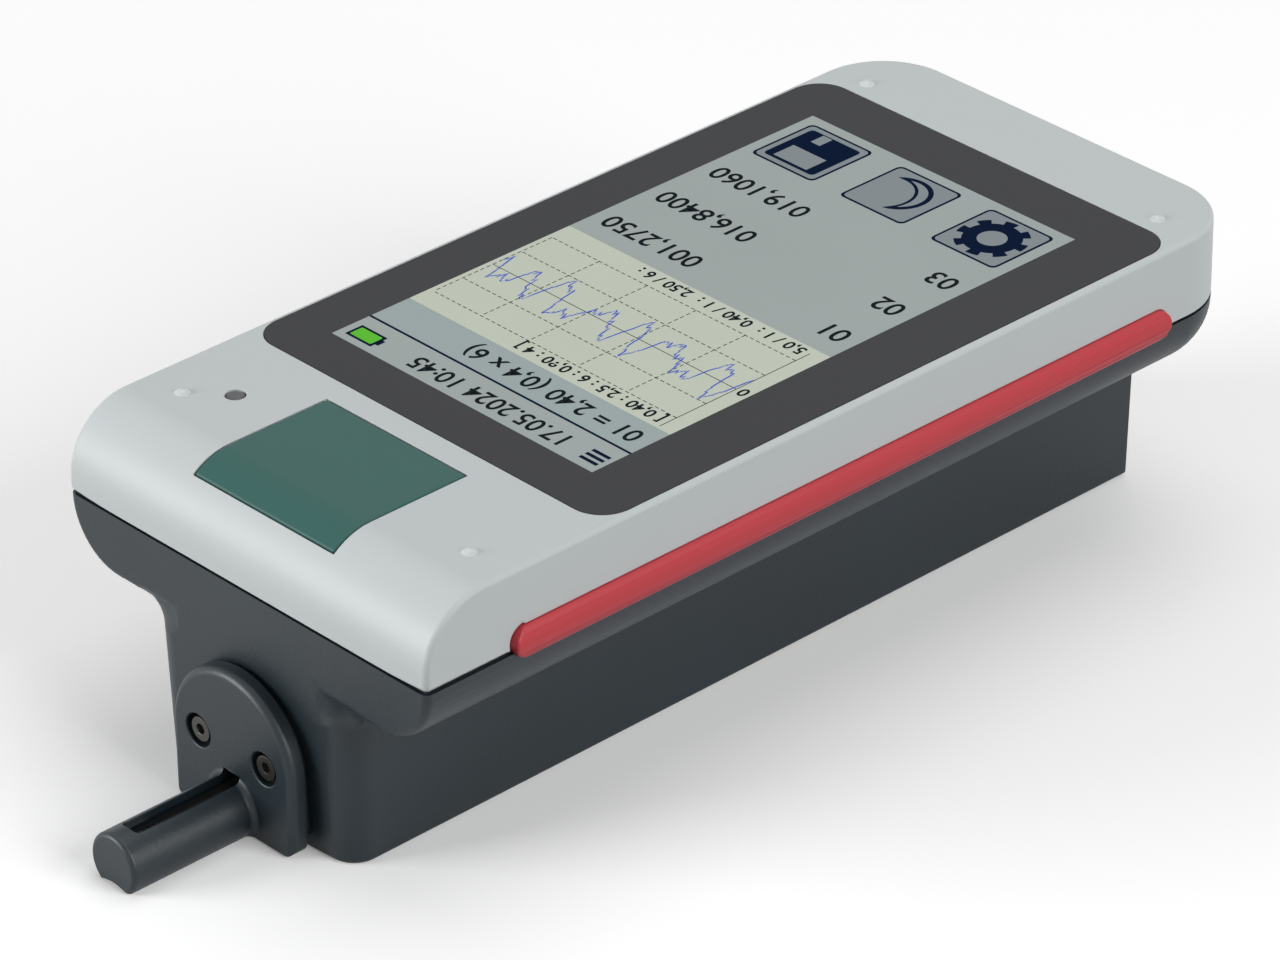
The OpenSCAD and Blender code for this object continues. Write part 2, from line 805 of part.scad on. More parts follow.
module base_housing() {
    color(case_dark) difference() {
        union() {
            difference() {
                union() {
                    round_case(y_front, flange_h, base_z) flange_edge(0);
                    foot_form();
                    foot_fillets();
                    sweep_y(y_front - foot_r, seat_y) plate_outline(seat_inset);
                }
                round_case(y_front - wall, flange_floor, base_z) flange_edge(wall);
                box([-inner_half, foot_y_rear + wall, floor_t],
                    [inner_half, inner_front, base_z + cut]);
                box([-channel_w / 2, holder_y0 - trace_len - channel_room, channel_t],
                    [channel_w / 2, inner_front, floor_t + cut]);
                translate([0, 0, base_z]) linear_extrude(cut) plan(wall);
            }
            base_posts();
            guard_bosses();
        }
        for (p = case_screws_at) {
            translate([p[0], p[1], flange_h - cut])
                cylinder(r = head_r + head_clear, h = head_seat - flange_h + cut);
            translate([p[0], p[1], flange_h])
                cylinder(r = case_screw_r + screw_clear, h = board_z);
        }
        for (sx = [-1, 1])
            rod_y(guard_shank_r + run_clear, y_front - guard_shank_len - cut, seat_y + cut,
                sx * guard_screw_span / 2, guard_screw_h);
        rod_y(front_hole_r, inner_front - cut, seat_y + cut, 0, front_hole_h);
        box([-slot_w / 2, inner_front - cut, -cut], [slot_w / 2, seat_y + cut, front_hole_h]);
        for (p = chassis_screws_at) translate([p[0], p[1], floor_t - chassis_screw_in])
            cylinder(r = chassis_screw_r, h = chassis_screw_in + cut);
        both_sides() strip_groove();
        usb_opening(socket_play);
    }
}

// Fasteners of the case

module case_screws() {
    hex_r = 1.2;
    color(steel) for (p = case_screws_at) translate([p[0], p[1], 0]) difference() {
        union() {
            translate([0, 0, head_seat - head_h]) cylinder(r = head_r, h = head_h);
            translate([0, 0, head_seat]) cylinder(r = case_screw_r,
                h = pilot_top - screw_tip_room - head_seat);
        }
        translate([0, 0, head_seat - head_h - cut]) cylinder(r = hex_r, h = 1 + cut, $fn = 6);
    }
}

// Main board and the parts on it

module main_board() {
    color([0.10, 0.33, 0.20]) difference() {
        translate([0, (board_front + board_rear) / 2, board_z]) linear_extrude(board_t)
            round_rect(board_w, board_len, board_corner);
        for (p = case_screws_at) translate([p[0], p[1], board_z - cut])
            cylinder(r = case_screw_r + screw_clear, h = board_t + 2 * cut);
    }
}

module board_components() {
    // Each entry is [x, y, width, length, height] as shares of the board and the tallest part
    parts = [[0, 0.135, 0.226, 0.095, 0.31], [-0.29, 0.15, 0.13, 0.075, 0.27],
        [0.26, 0.135, 0.113, 0.048, 0.2], [-0.226, -0.085, 0.145, 0.061, 0.67],
        [0.194, -0.098, 0.355, 0.031, 0.49], [0.29, -0.235, 0.097, 0.041, 0.89],
        [-0.29, -0.248, 0.081, 0.068, 0.33], [0, -0.33, 0.194, 0.034, 1]];
    color([0.16, 0.16, 0.17]) for (p = parts)
        translate([(p[0] - p[2] / 2) * board_w, (p[1] - p[3] / 2) * board_len, board_top])
            cube([p[2] * board_w, p[3] * board_len, p[4] * part_h]);
}

// Battery

module battery_cradle() {
    half = cell_r + cradle_wall;
    y0 = cell_y0 - contact_t - cradle_end;
    y1 = cell_y1 + contact_t + cradle_end;
    color(black) union() {
        difference() {
            box([-half, y0, floor_t], [half, y1, cell_h - cradle_open]);
            rod_y(cell_r + cell_clear, cell_y0 - contact_t, cell_y1 + contact_t, 0, cell_h);
        }
        for (y = [y0, y1 - cradle_end])
            box([-half, y, floor_t], [half, y + cradle_end, cradle_top]);
    }
}

module battery_cell() {
    cap_r = 2.8;
    cap_h = 1;
    color([0.18, 0.32, 0.55]) union() {
        rod_y(cell_r, cell_y0, cell_y1 - cap_h, 0, cell_h);
        rod_y(cap_r, cell_y1 - 2 * cap_h, cell_y1, 0, cell_h);
    }
}

module battery_contacts() {
    half = contact_half;
    color(brass) for (y = [cell_y0 - contact_t, cell_y1])
        box([-half, y, cell_h - half], [half, y + contact_t, cell_h + half]);
}

// Charging and data socket in the rear wall

module usb_opening(gap) {
    translate([socket_x, foot_y_rear - cut, socket_h]) rotate([-90, 0, 0])
        linear_extrude(wall + 2 * cut) rotate(90) slot_2d(socket_t + 2 * gap, socket_w + 2 * gap);
}

module usb_socket() {
    shell = 0.35;
    tongue = [6.2, 5, 0.7];
    collar = 1;
    color(steel) union() {
        difference() {
            union() {
                translate([socket_x, foot_y_rear + socket_sunk, socket_h]) rotate([-90, 0, 0])
                    linear_extrude(socket_len) rotate(90) slot_2d(socket_t, socket_w);
                translate([socket_x, foot_y_rear + wall, socket_h]) rotate([-90, 0, 0])
                    linear_extrude(collar) rotate(90)
                        slot_2d(socket_t + 2 * socket_rim, socket_w + 2 * socket_rim);
            }
            translate([socket_x, foot_y_rear, socket_h]) rotate([-90, 0, 0])
                linear_extrude(socket_len - collar) rotate(90)
                    slot_2d(socket_t - 2 * shell, socket_w - 2 * shell);
        }
        translate([socket_x - tongue[0] / 2, foot_y_rear + socket_len - tongue[1],
            socket_h - tongue[2] / 2]) cube(tongue);
    }
}

// Drive chassis with its motor, screw and rods

module chassis_plate(y0, y1) {
    box([-chassis_w / 2, y0, floor_t], [chassis_w / 2, y1, chassis_z1]);
}

module probe_passage() {
    passage = channel_w / 2;
    box([-passage, motor_y1 - cut, floor_t - cut],
        [passage, chassis_y1 + cut, holder_z1 + passage_room]);
}

module drive_chassis() {
    color([0.60, 0.62, 0.64]) difference() {
        union() {
            chassis_plate(front_plate_y, chassis_y1);
            chassis_plate(bearing_y0, bearing_y1);
            chassis_plate(motor_y1, motor_y1 + motor_plate);
            for (sx = [-1, 1]) box(
                [sx * (chassis_w / 2 - rail_w / 2) - rail_w / 2, motor_y1, floor_t],
                [sx * (chassis_w / 2 - rail_w / 2) + rail_w / 2, chassis_y1, floor_t + rail_h]);
        }
        probe_passage();
        rod_y(bush_r, bearing_y0 - cut, bearing_y1 + cut, 0, screw_h);
        rod_y(bush_r, front_plate_y - cut, chassis_y1 + cut, 0, screw_h);
        rod_y(motor_r / 2, motor_y1 - cut, motor_y1 + motor_plate + cut, 0, screw_h);
        for (sx = [-1, 1])
            rod_y(rod_r, bearing_y0 - cut, chassis_y1 + cut, sx * rod_half, rod_h);
        for (p = chassis_screws_at) translate([p[0], p[1], floor_t - cut])
            cylinder(r = chassis_screw_r, h = rail_h + 2 * cut);
    }
}

module chassis_screws() {
    head_t = 1;
    color(steel) for (p = chassis_screws_at) translate([p[0], p[1], floor_t]) union() {
        translate([0, 0, -chassis_screw_in])
            cylinder(r = chassis_screw_r, h = rail_h + chassis_screw_in);
        translate([0, 0, rail_h]) cylinder(r = chassis_screw_head, h = head_t);
    }
}

module drive_motor() {
    color(steel) difference() {
        union() {
            rod_y(motor_r, motor_y0, motor_y1, 0, screw_h);
            rod_y(motor_r / 2, motor_y1, motor_y1 + motor_plate, 0, screw_h);
            rod_y(motor_r * 0.7, motor_y0 - 1.5, motor_y0, 0, screw_h);
        }
        rod_y(shaft_r + run_clear, motor_y1 - 6, motor_y1 + motor_plate + cut, 0, screw_h);
    }
}

module motor_shaft() {
    color(steel) rod_y(shaft_r, motor_y1 - 5.5, shaft_join, 0, screw_h);
}

module motor_coupling() {
    end_gap = 0.3;
    color(brass) difference() {
        rod_y(bush_r, motor_y1 + motor_plate + end_gap, bearing_y0 - end_gap, 0, screw_h);
        rod_y(shaft_r, motor_y1 + motor_plate, shaft_join, 0, screw_h);
        rod_y(screw_r, shaft_join, bearing_y0, 0, screw_h);
    }
}

module lead_screw() {
    color(steel) rod_y(screw_r, shaft_join, chassis_y1, 0, screw_h);
}

module screw_bearings() {
    color(brass) for (y = [bearing_y0, front_plate_y]) difference() {
        rod_y(bush_r, y, y + chassis_t, 0, screw_h);
        rod_y(screw_r + run_clear, y - cut, y + chassis_t + cut, 0, screw_h);
    }
}

module guide_rods() {
    color(steel) for (sx = [-1, 1])
        rod_y(rod_r, bearing_y0, chassis_y1, sx * rod_half, rod_h);
}

// Carriage and the pick-up's holder

module carriage() {
    ear_x = holder_w / 2 + holder_gap + holder_ear / 2;
    color([0.30, 0.31, 0.33]) difference() {
        union() {
            box([-carriage_half, carriage_y0, carriage_z0], [carriage_half, carriage_y1, carriage_z1]);
            for (sx = [-1, 1]) box(
                [sx * ear_x - holder_ear / 2, holder_pin_y - holder_ear_half, holder_pin_h - holder_ear],
                [sx * ear_x + holder_ear / 2, holder_pin_y + holder_ear_half, carriage_z0 + cut]);
        }
        rod_y(bush_r, carriage_y0 - cut, carriage_y1 + cut, 0, screw_h);
        for (sx = [-1, 1])
            rod_y(bush_r, carriage_y0 - cut, carriage_y1 + cut, sx * rod_half, rod_h);
        rod_x(holder_pin_r, 2 * (ear_x + holder_ear + cut), holder_pin_y, holder_pin_h);
    }
}

module carriage_bushes() {
    color(brass) for (sx = [-1, 1]) difference() {
        rod_y(bush_r, carriage_y0, carriage_y1, sx * rod_half, rod_h);
        rod_y(rod_r + run_clear, carriage_y0 - cut, carriage_y1 + cut, sx * rod_half, rod_h);
    }
}

module drive_nut() {
    color(brass) difference() {
        rod_y(bush_r, carriage_y0, carriage_y1, 0, screw_h);
        rod_y(screw_r + run_clear, carriage_y0 - cut, carriage_y1 + cut, 0, screw_h);
    }
}

module holder_pin() {
    color(steel)
        rod_x(holder_pin_r, holder_w + 2 * (holder_gap + holder_ear), holder_pin_y, holder_pin_h);
}

module probe_holder() {
    color([0.30, 0.31, 0.33]) difference() {
        box([-holder_w / 2, holder_y0, holder_z0], [holder_w / 2, holder_y1, holder_z1]);
        rod_y(pickup_r, pickup_y, holder_y1 + cut, 0, pickup_h);
        rod_x(holder_pin_r + run_clear, holder_w + 2 * cut, holder_pin_y, holder_pin_h);
    }
}

// Pick-up with skid and stylus

module pickup_tube() {
    color(black) difference() {
        rod_y(pickup_r, pickup_y, skid_y, 0, pickup_h);
        rod_y(pickup_bore, pivot_y - bore_back, skid_y + cut, 0, pickup_h);
        rod_x(pin_r, 2 * pickup_r + cut, pivot_y, pickup_h);
    }
}

module pickup_skid() {
    runner_z = skid_lift + skid_r;
    runner_y = stylus_y;
    color(steel) difference() {
        union() {
            rod_y(pickup_r, skid_y, nose_y, 0, pickup_h);
            intersection() {
                box([-skid_w / 2, skid_y, 0], [skid_w / 2, nose_y, pickup_h]);
                rod_x(skid_r, skid_w, runner_y, runner_z);
            }
        }
        rod_y(pickup_bore, skid_y - cut, stylus_y + stylus_room, 0, pickup_h);
        box([-skid_w / 4, stylus_y - stylus_room, -cut], [skid_w / 4, stylus_y + stylus_room, pickup_h]);
    }
}

module sensor_coil() {
    color(brass) difference() {
        rod_y(pickup_bore, pivot_y - coil_back, pivot_y - coil_back + coil_len, 0, pickup_h);
        rod_y(stylus_r + coil_clear, pivot_y - coil_back - cut, pivot_y - coil_back + coil_len + cut,
            0, pickup_h);
    }
}

module stylus_pin() {
    color(steel) rod_x(pin_r, 2 * sqrt(pickup_r * pickup_r - pin_r * pin_r), pivot_y, pickup_h);
}

module stylus_arm() {
    hub = [1.6, 2.4, 1.8];
    color(steel) difference() {
        union() {
            rod_y(stylus_r, pivot_y - arm_back, stylus_y + stylus_r, 0, pickup_h);
            translate([-hub[0] / 2, pivot_y - hub[1] / 2, pickup_h - hub[2] / 2]) cube(hub);
        }
        rod_x(pin_r + run_clear, 2 * hub[0], pivot_y, pickup_h);
    }
}

module stylus_tip() {
    point_r = 0.05;
    color([0.85, 0.90, 0.95]) translate([0, stylus_y, stylus_lift])
        cylinder(r1 = point_r, r2 = 0.35, h = pickup_h - stylus_r - stylus_lift);
}

// Guard: plate and slotted finger in one moulding

module guard_plate() {
    corner = plate_half - plate_edge;
    intersection() {
        union() {
            translate([0, seat_y, plate_axis]) rotate([-90, 0, 0]) rotate_extrude()
                union() {
                    square([corner, plate_t]);
                    square([plate_half, plate_t - plate_edge]);
                    translate([corner, plate_t - plate_edge]) intersection() {
                        circle(r = plate_edge);
                        square(plate_edge);
                    }
                }
            translate([0, seat_y, plate_lift]) linear_extrude(plate_axis - plate_lift) union() {
                translate([-corner, 0]) square([2 * corner, plate_t]);
                translate([-plate_half, 0]) square([plate_w, plate_t - plate_edge]);
                for (sx = [-1, 1]) translate([sx * corner, plate_t - plate_edge])
                    circle(r = plate_edge);
            }
        }
        sweep_y(seat_y, plate_y) plate_outline(0);
    }
}

// Fillet ring where the finger meets the plate
module finger_root() {
    translate([0, plate_y, finger_h]) rotate([-90, 0, 0]) rotate_extrude() difference() {
        translate([finger_r - cut, -cut]) square([finger_fillet + cut, finger_fillet + cut]);
        translate([finger_r + finger_fillet, finger_fillet]) circle(r = finger_fillet);
    }
}

// The finger with its rounded front edge
module finger_form() {
    len = finger_y - plate_y + cut;
    translate([0, plate_y - cut, finger_h]) rotate([-90, 0, 0]) rotate_extrude() union() {
        square([finger_r - finger_edge, len]);
        square([finger_r, len - finger_edge]);
        translate([finger_r - finger_edge, len - finger_edge]) intersection() {
            circle(r = finger_edge);
            square(finger_edge);
        }
    }
}

// The slot along the finger's top, seen from above
module slot_plan() {
    y0 = seat_y - cut;
    union() {
        translate([-slot_w / 2, y0]) square([slot_w, bore_end - slot_corner - y0]);
        translate([slot_corner - slot_w / 2, y0]) square([slot_w - 2 * slot_corner, bore_end - y0]);
        for (sx = [-1, 1]) translate([sx * (slot_w / 2 - slot_corner), bore_end - slot_corner])
            circle(r = slot_corner);
    }
}

module probe_guard() {
    color(case_dark) difference() {
        union() {
            guard_plate();
            finger_form();
            intersection() {
                finger_root();
                box([-plate_half, seat_y, plate_lift], [plate_half, finger_y, plate_top]);
            }
        }
        box([-plate_half, plate_y - plate_t - cut, -finger_r], [plate_half, finger_y + cut, 0]);
        rod_y(groove_r, plate_y, finger_y + cut, 0, groove_rise - groove_r);
        rod_y(finger_bore, seat_y - cut, bore_end, 0, finger_h);
        translate([0, 0, finger_h]) linear_extrude(finger_r + slot_rise) slot_plan();
        box([-slot_w / 2, seat_y - cut, -cut], [slot_w / 2, bore_end, finger_h]);
        for (sx = [-1, 1]) {
            rod_y(guard_recess_r, plate_y - guard_recess, plate_y + cut,
                sx * guard_screw_span / 2, guard_screw_h);
            rod_y(guard_shank_r + run_clear, seat_y - cut, plate_y,
                sx * guard_screw_span / 2, guard_screw_h);
        }
    }
}

module guard_screws() {
    hex_r = 0.87;
    seat = plate_y - guard_recess;
    color(steel) for (sx = [-1, 1]) difference() {
        union() {
            rod_y(guard_head_r, seat, seat + guard_head_h, sx * guard_screw_span / 2, guard_screw_h);
            rod_y(guard_shank_r, y_front - guard_shank_len, seat,
                sx * guard_screw_span / 2, guard_screw_h);
        }
        translate([sx * guard_screw_span / 2, seat + guard_head_h - 1, guard_screw_h])
            rotate([-90, 0, 0]) cylinder(r = hex_r, h = 1 + cut, $fn = 6);
    }
}

top_cover();
display_glass();
display_module();
start_button();
start_switch();
led_light_pipe();
status_led();
side_strip_left();
side_strip_right();
case_gasket();
base_housing();
case_screws();
main_board();
board_components();
battery_cradle();
battery_cell();
battery_contacts();
usb_socket();
drive_chassis();
chassis_screws();
drive_motor();
motor_shaft();
motor_coupling();
lead_screw();
screw_bearings();
guide_rods();
carriage();
carriage_bushes();
drive_nut();
holder_pin();
probe_holder();
pickup_tube();
pickup_skid();
sensor_coil();
stylus_pin();
stylus_arm();
stylus_tip();
probe_guard();
guard_screws();
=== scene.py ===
"""Looks of a handheld surface roughness tester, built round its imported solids.

Everything is in metres in the part's frame: +Y points to the guard finger, +Z out of the display.
Sizes and places given in millimetres say so, and MM turns them into metres.
"""

import math

import bpy
from mathutils import Matrix, Vector


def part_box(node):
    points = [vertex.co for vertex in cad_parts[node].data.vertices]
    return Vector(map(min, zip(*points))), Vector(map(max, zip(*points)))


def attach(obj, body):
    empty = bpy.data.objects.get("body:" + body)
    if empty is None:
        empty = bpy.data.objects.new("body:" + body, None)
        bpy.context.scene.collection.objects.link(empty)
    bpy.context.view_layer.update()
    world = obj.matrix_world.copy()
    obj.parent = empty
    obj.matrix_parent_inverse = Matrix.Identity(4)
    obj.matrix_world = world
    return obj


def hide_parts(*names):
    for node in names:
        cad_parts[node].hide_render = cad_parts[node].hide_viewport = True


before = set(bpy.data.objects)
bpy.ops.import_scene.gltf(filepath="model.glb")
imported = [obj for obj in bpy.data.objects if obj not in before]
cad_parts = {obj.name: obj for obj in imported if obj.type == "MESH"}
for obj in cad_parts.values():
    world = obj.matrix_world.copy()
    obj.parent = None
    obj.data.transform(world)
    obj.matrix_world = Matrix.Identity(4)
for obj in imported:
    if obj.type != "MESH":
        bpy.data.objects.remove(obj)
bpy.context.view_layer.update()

MM = 0.001

# Display layout, in millimetres: the lit field, then what is drawn on it
FIELD_X = (-25.8, 28.0)
FIELD_Y = (-55.7, 39.2)
HEADER_LINE_Y = 32.0
HEADER_LINE_HALF = 0.22
MENU_X = (-24.9, -21.4)
MENU_BARS_Y = ((37.05, 37.7), (35.85, 36.5), (34.65, 35.3))
BATTERY_X, BATTERY_Y = (21.3, 26.7), (34.6, 37.9)
BATTERY_POLE_X, BATTERY_POLE_Y = (20.75, 21.4), (35.5, 37.0)
CHARGE_X, CHARGE_Y = (21.8, 26.2), (35.05, 37.45)
GRAPH_Y = (-6.3, 24.6)
GRAPH_AXIS_X = -23.1
GRAPH_AXIS_Y = (-4.9, 24.0)
GRAPH_RIGHT_X = 27.1
GRAPH_ZERO_Y = 9.4
GRAPH_LINE_HALF = 0.07
GRAPH_ROWS = (20.8, 15.2, 3.9, -2.1)
GRAPH_COLUMNS = (-13.0, -3.0, 7.1, 17.1, 27.1)
TRACE_STEPS = 320
TRACE_RADIUS = 0.12
KEY_SIZE = 12.95
KEY_RIM = 0.42
KEY_Y = -47.35
KEY_X = (-17.3, 1.2, 19.65)
GEAR_RADIUS, GEAR_HOLE = 5.6, 2.25
MOON_X, MOON_Y = KEY_X[1] + 0.5, KEY_Y - 0.2
MOON_RADIUS, MOON_FACE_RADIUS = 5.0, 4.2
DISK_X, DISK_Y, DISK_HALF = KEY_X[2], KEY_Y, 5.15
DISK_LABEL_X, DISK_LABEL_Y = (DISK_X - 3.3, DISK_X + 3.6), (DISK_Y + 0.3, DISK_Y + 4.5)
DISK_SHUTTER_X, DISK_SHUTTER_Y = (DISK_X + 0.7, DISK_X + 2.6), (DISK_Y - 4.9, DISK_Y - 2.2)

# Figures on the display, in millimetres: x of their start or end, y of their foot, height, side
SMALL, MIDDLING, LARGE = 2.0, 3.15, 3.5
SCREEN_FIGURES = (
    ("17.05.2024 10:45", -17.9, 34.6, MIDDLING, "LEFT"),
    ("01 = 2,40 (0,4 x 6)", -23.6, 26.9, MIDDLING, "LEFT"),
    ("0", -25.2, GRAPH_ZERO_Y - 1.0, SMALL, "LEFT"),
    ("[ 0,40 : 2,5 : 6 ; 0,80 : 4 ]", -22.2, 21.6, SMALL, "LEFT"),
    ("5,0 / 1 ;  0,40 / 1 ;  2,50 / 6 ;", -22.2, -5.5, SMALL, "LEFT"),
    ("01", -23.6, -13.3, LARGE, "LEFT"),
    ("02", -23.6, -24.1, LARGE, "LEFT"),
    ("03", -23.6, -34.9, LARGE, "LEFT"),
    ("001,2750", 25.8, -13.3, LARGE, "RIGHT"),
    ("016,8400", 25.8, -24.1, LARGE, "RIGHT"),
    ("019,1060", 25.8, -34.9, LARGE, "RIGHT"),
)

# Layers on the display glass, counted up from it, and the height of one in millimetres
FIELD_LAYER, LINE_LAYER, FACE_LAYER, SIGN_LAYER, MARK_LAYER = 1, 2, 3, 4, 5
LAYER_HEIGHT = 0.012
# Height of a figure over the size of its type
FIGURE_SHARE = 0.691

GLASS_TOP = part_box("display_glass")[1][2]


# Finishes

def new_group(name, inputs, outputs):
    """A shader node group with float or vector inputs, and its input and output nodes."""
    tree = bpy.data.node_groups.new(name, "ShaderNodeTree")
    for label, kind, value in inputs:
        socket = tree.interface.new_socket(label, in_out="INPUT", socket_type=kind)
        if value is not None:
            socket.default_value = value
    for label, kind in outputs:
        tree.interface.new_socket(label, in_out="OUTPUT", socket_type=kind)
    return tree, tree.nodes.new("NodeGroupInput"), tree.nodes.new("NodeGroupOutput")


def surface_group(name, scale_label, scale, rough):
    """A group that puts out a surface's height, tone and roughness."""
    return new_group(
        name,
        [("Vector", "NodeSocketVector", None), (scale_label, "NodeSocketFloat", scale),
         ("Rough Low", "NodeSocketFloat", rough[0]), ("Rough High", "NodeSocketFloat", rough[1])],
        [(label, "NodeSocketFloat") for label in ("Height", "Tone", "Roughness")])


def link_gloss(tree, given, result, value):
    """Lets a value set the roughness between the group's two limits."""
    gloss = tree.nodes.new("ShaderNodeMapRange")
    tree.links.new(value, gloss.inputs["Value"])
    tree.links.new(given.outputs["Rough Low"], gloss.inputs["To Min"])
    tree.links.new(given.outputs["Rough High"], gloss.inputs["To Max"])
    tree.links.new(gloss.outputs["Result"], result.inputs["Roughness"])


def spark_grain_group():
    """Fine eroded texture of a moulded surface, with slow drifts in tone and gloss."""
    tree, given, result = surface_group("spark_grain", "Grain Scale", 3000.0, (0.4, 0.5))
    fine = tree.nodes.new("ShaderNodeTexNoise")
    fine.inputs["Detail"].default_value = 3.0
    fine.inputs["Roughness"].default_value = 0.6
    drift = tree.nodes.new("ShaderNodeTexNoise")
    drift.inputs["Scale"].default_value = 38.0
    drift.inputs["Detail"].default_value = 2.0
    mixed = tree.nodes.new("ShaderNodeMath")
    mixed.operation = "MULTIPLY_ADD"
    fine_share = mixed.inputs[1]
    fine_share.default_value = 0.45
    tree.links.new(given.outputs["Vector"], fine.inputs["Vector"])
    tree.links.new(given.outputs["Grain Scale"], fine.inputs["Scale"])
    tree.links.new(given.outputs["Vector"], drift.inputs["Vector"])
    tree.links.new(fine.outputs["Fac"], mixed.inputs[0])
    tree.links.new(drift.outputs["Fac"], mixed.inputs[2])
    tree.links.new(mixed.outputs["Value"], result.inputs["Tone"])
    tree.links.new(fine.outputs["Fac"], result.inputs["Height"])
    link_gloss(tree, given, result, drift.outputs["Fac"])
    return tree


def turned_metal_group():
    """Fine tool lines round or along a metal piece, as a height and a roughness."""
    tree, given, result = surface_group("turned_metal", "Line Scale", 1.0, (0.22, 0.42))
    stretch = tree.nodes.new("ShaderNodeVectorMath")
    stretch.operation = "MULTIPLY"
    lines_per_metre = stretch.inputs[1]
    lines_per_metre.default_value = (400.0, 6000.0, 400.0)
    lines = tree.nodes.new("ShaderNodeTexNoise")
    lines.inputs["Detail"].default_value = 2.0
    tree.links.new(given.outputs["Vector"], stretch.inputs[0])
    tree.links.new(stretch.outputs["Vector"], lines.inputs["Vector"])
    tree.links.new(given.outputs["Line Scale"], lines.inputs["Scale"])
    tree.links.new(lines.outputs["Fac"], result.inputs["Height"])
    tree.links.new(lines.outputs["Fac"], result.inputs["Tone"])
    link_gloss(tree, given, result, lines.outputs["Fac"])
    return tree


SPARK_GRAIN = spark_grain_group()
TURNED_METAL = turned_metal_group()
BUMP_DISTANCE = 0.0001


def finish(name, colour, rough, effect=SPARK_GRAIN, scale=3000.0, bump=0.06, spread=0.06,
           metallic=0.0, specular=0.35, glow=0.0):
    """A material whose tone, gloss and bump come from one of the surface groups."""
    material = bpy.data.materials.new(name)
    material.use_nodes = True
    nodes, links = material.node_tree.nodes, material.node_tree.links
    shader = nodes["Principled BSDF"]
    place = nodes.new("ShaderNodeTexCoord")
    surface = nodes.new("ShaderNodeGroup")
    surface.node_tree = effect
    surface.inputs[1].default_value = scale
    surface.inputs["Rough Low"].default_value = rough[0]
    surface.inputs["Rough High"].default_value = rough[1]
    tone = nodes.new("ShaderNodeMix")
    tone.data_type = "RGBA"
    tone.inputs["A"].default_value = (*[c * (1 - spread) for c in colour], 1.0)
    tone.inputs["B"].default_value = (*[min(1.0, c * (1 + spread)) for c in colour], 1.0)
    relief = nodes.new("ShaderNodeBump")
    relief.inputs["Strength"].default_value = bump
    relief.inputs["Distance"].default_value = BUMP_DISTANCE
    links.new(place.outputs["Object"], surface.inputs["Vector"])
    links.new(surface.outputs["Tone"], tone.inputs["Factor"])
    links.new(tone.outputs["Result"], shader.inputs["Base Color"])
    links.new(surface.outputs["Roughness"], shader.inputs["Roughness"])
    links.new(surface.outputs["Height"], relief.inputs["Height"])
    links.new(relief.outputs["Normal"], shader.inputs["Normal"])
    shader.inputs["Metallic"].default_value = metallic
    shader.inputs["Specular IOR Level"].default_value = specular
    if glow:
        links.new(tone.outputs["Result"], shader.inputs["Emission Color"])
        shader.inputs["Emission Strength"].default_value = glow
    return material


def metal(name, colour, rough, spread=0.08, scale=1.0, bump=0.04, metallic=1.0):
    """A metal with tool lines."""
    return finish(name, colour, rough, TURNED_METAL, scale, bump, spread, metallic)


def screen_ink(name, colour, glow=0.95):
    """A lit colour of the display under its matt cover glass."""
    return finish(name, colour, (0.34, 0.40), bump=0.0, spread=0.04, specular=0.0, glow=glow)


COVER_GREY = finish("cover_grey", (0.530, 0.565, 0.570), (0.40, 0.50), bump=0.10, spread=0.02)
NUB_GREY = finish("nub_grey", (0.560, 0.590, 0.590), (0.10, 0.16), bump=0.0, spread=0.02,
                  specular=0.6)
CASE_SLATE = finish("case_slate", (0.007, 0.0135, 0.0185), (0.38, 0.48), scale=1700.0, bump=0.35,
                    spread=0.30, specular=0.46)
BUTTON_GREEN = finish("button_green", (0.042, 0.121, 0.107), (0.30, 0.38), bump=0.05, spread=0.04,
                      specular=0.12)
STRIP_RED = finish("strip_red", (0.515, 0.045, 0.058), (0.34, 0.42), bump=0.06, spread=0.03,
                   specular=0.30)
BEZEL_GREY = finish("bezel_grey", (0.048, 0.049, 0.052), (0.46, 0.54), bump=0.02, spread=0.03,
                    specular=0.07)
LAMP_GREY = finish("lamp_grey", (0.080, 0.084, 0.086), (0.20, 0.30), bump=0.02)
# Black rubber gasket between cover and base, made near black: its line along the seam is also
# painted shade for the shadow in the seam gap
GASKET_BLACK_SEAM_SHADE = finish("gasket_black_seam_shade", (0.008, 0.008, 0.009), (0.60, 0.75), bump=0.10)
INNER_BLACK = finish("inner_black", (0.020, 0.020, 0.022), (0.45, 0.60), bump=0.10)
BOARD_GREEN = finish("board_green", (0.020, 0.120, 0.055), (0.30, 0.42), bump=0.05, spread=0.12)
CELL_BLUE = finish("cell_blue", (0.04, 0.10, 0.28), (0.18, 0.26), bump=0.02)
PALE_LED = finish("pale_led", (0.70, 0.70, 0.66), (0.25, 0.35), bump=0.02)
POINT_STONE = finish("point_stone", (0.75, 0.80, 0.84), (0.06, 0.12), bump=0.01)

SCREW_BLACK = metal("screw_black", (0.075, 0.072, 0.066), (0.26, 0.38), spread=0.12, metallic=0.8)
BRIGHT_STEEL = metal("bright_steel", (0.60, 0.61, 0.63), (0.20, 0.34))
BUSH_BRASS = metal("bush_brass", (0.70, 0.52, 0.22), (0.24, 0.38))
CHASSIS_ALLOY = metal("chassis_alloy", (0.58, 0.59, 0.61), (0.32, 0.46), spread=0.06, scale=0.6,
                      bump=0.05)
PANEL_TIN = metal("panel_tin", (0.50, 0.51, 0.52), (0.34, 0.48), spread=0.06, scale=0.5)

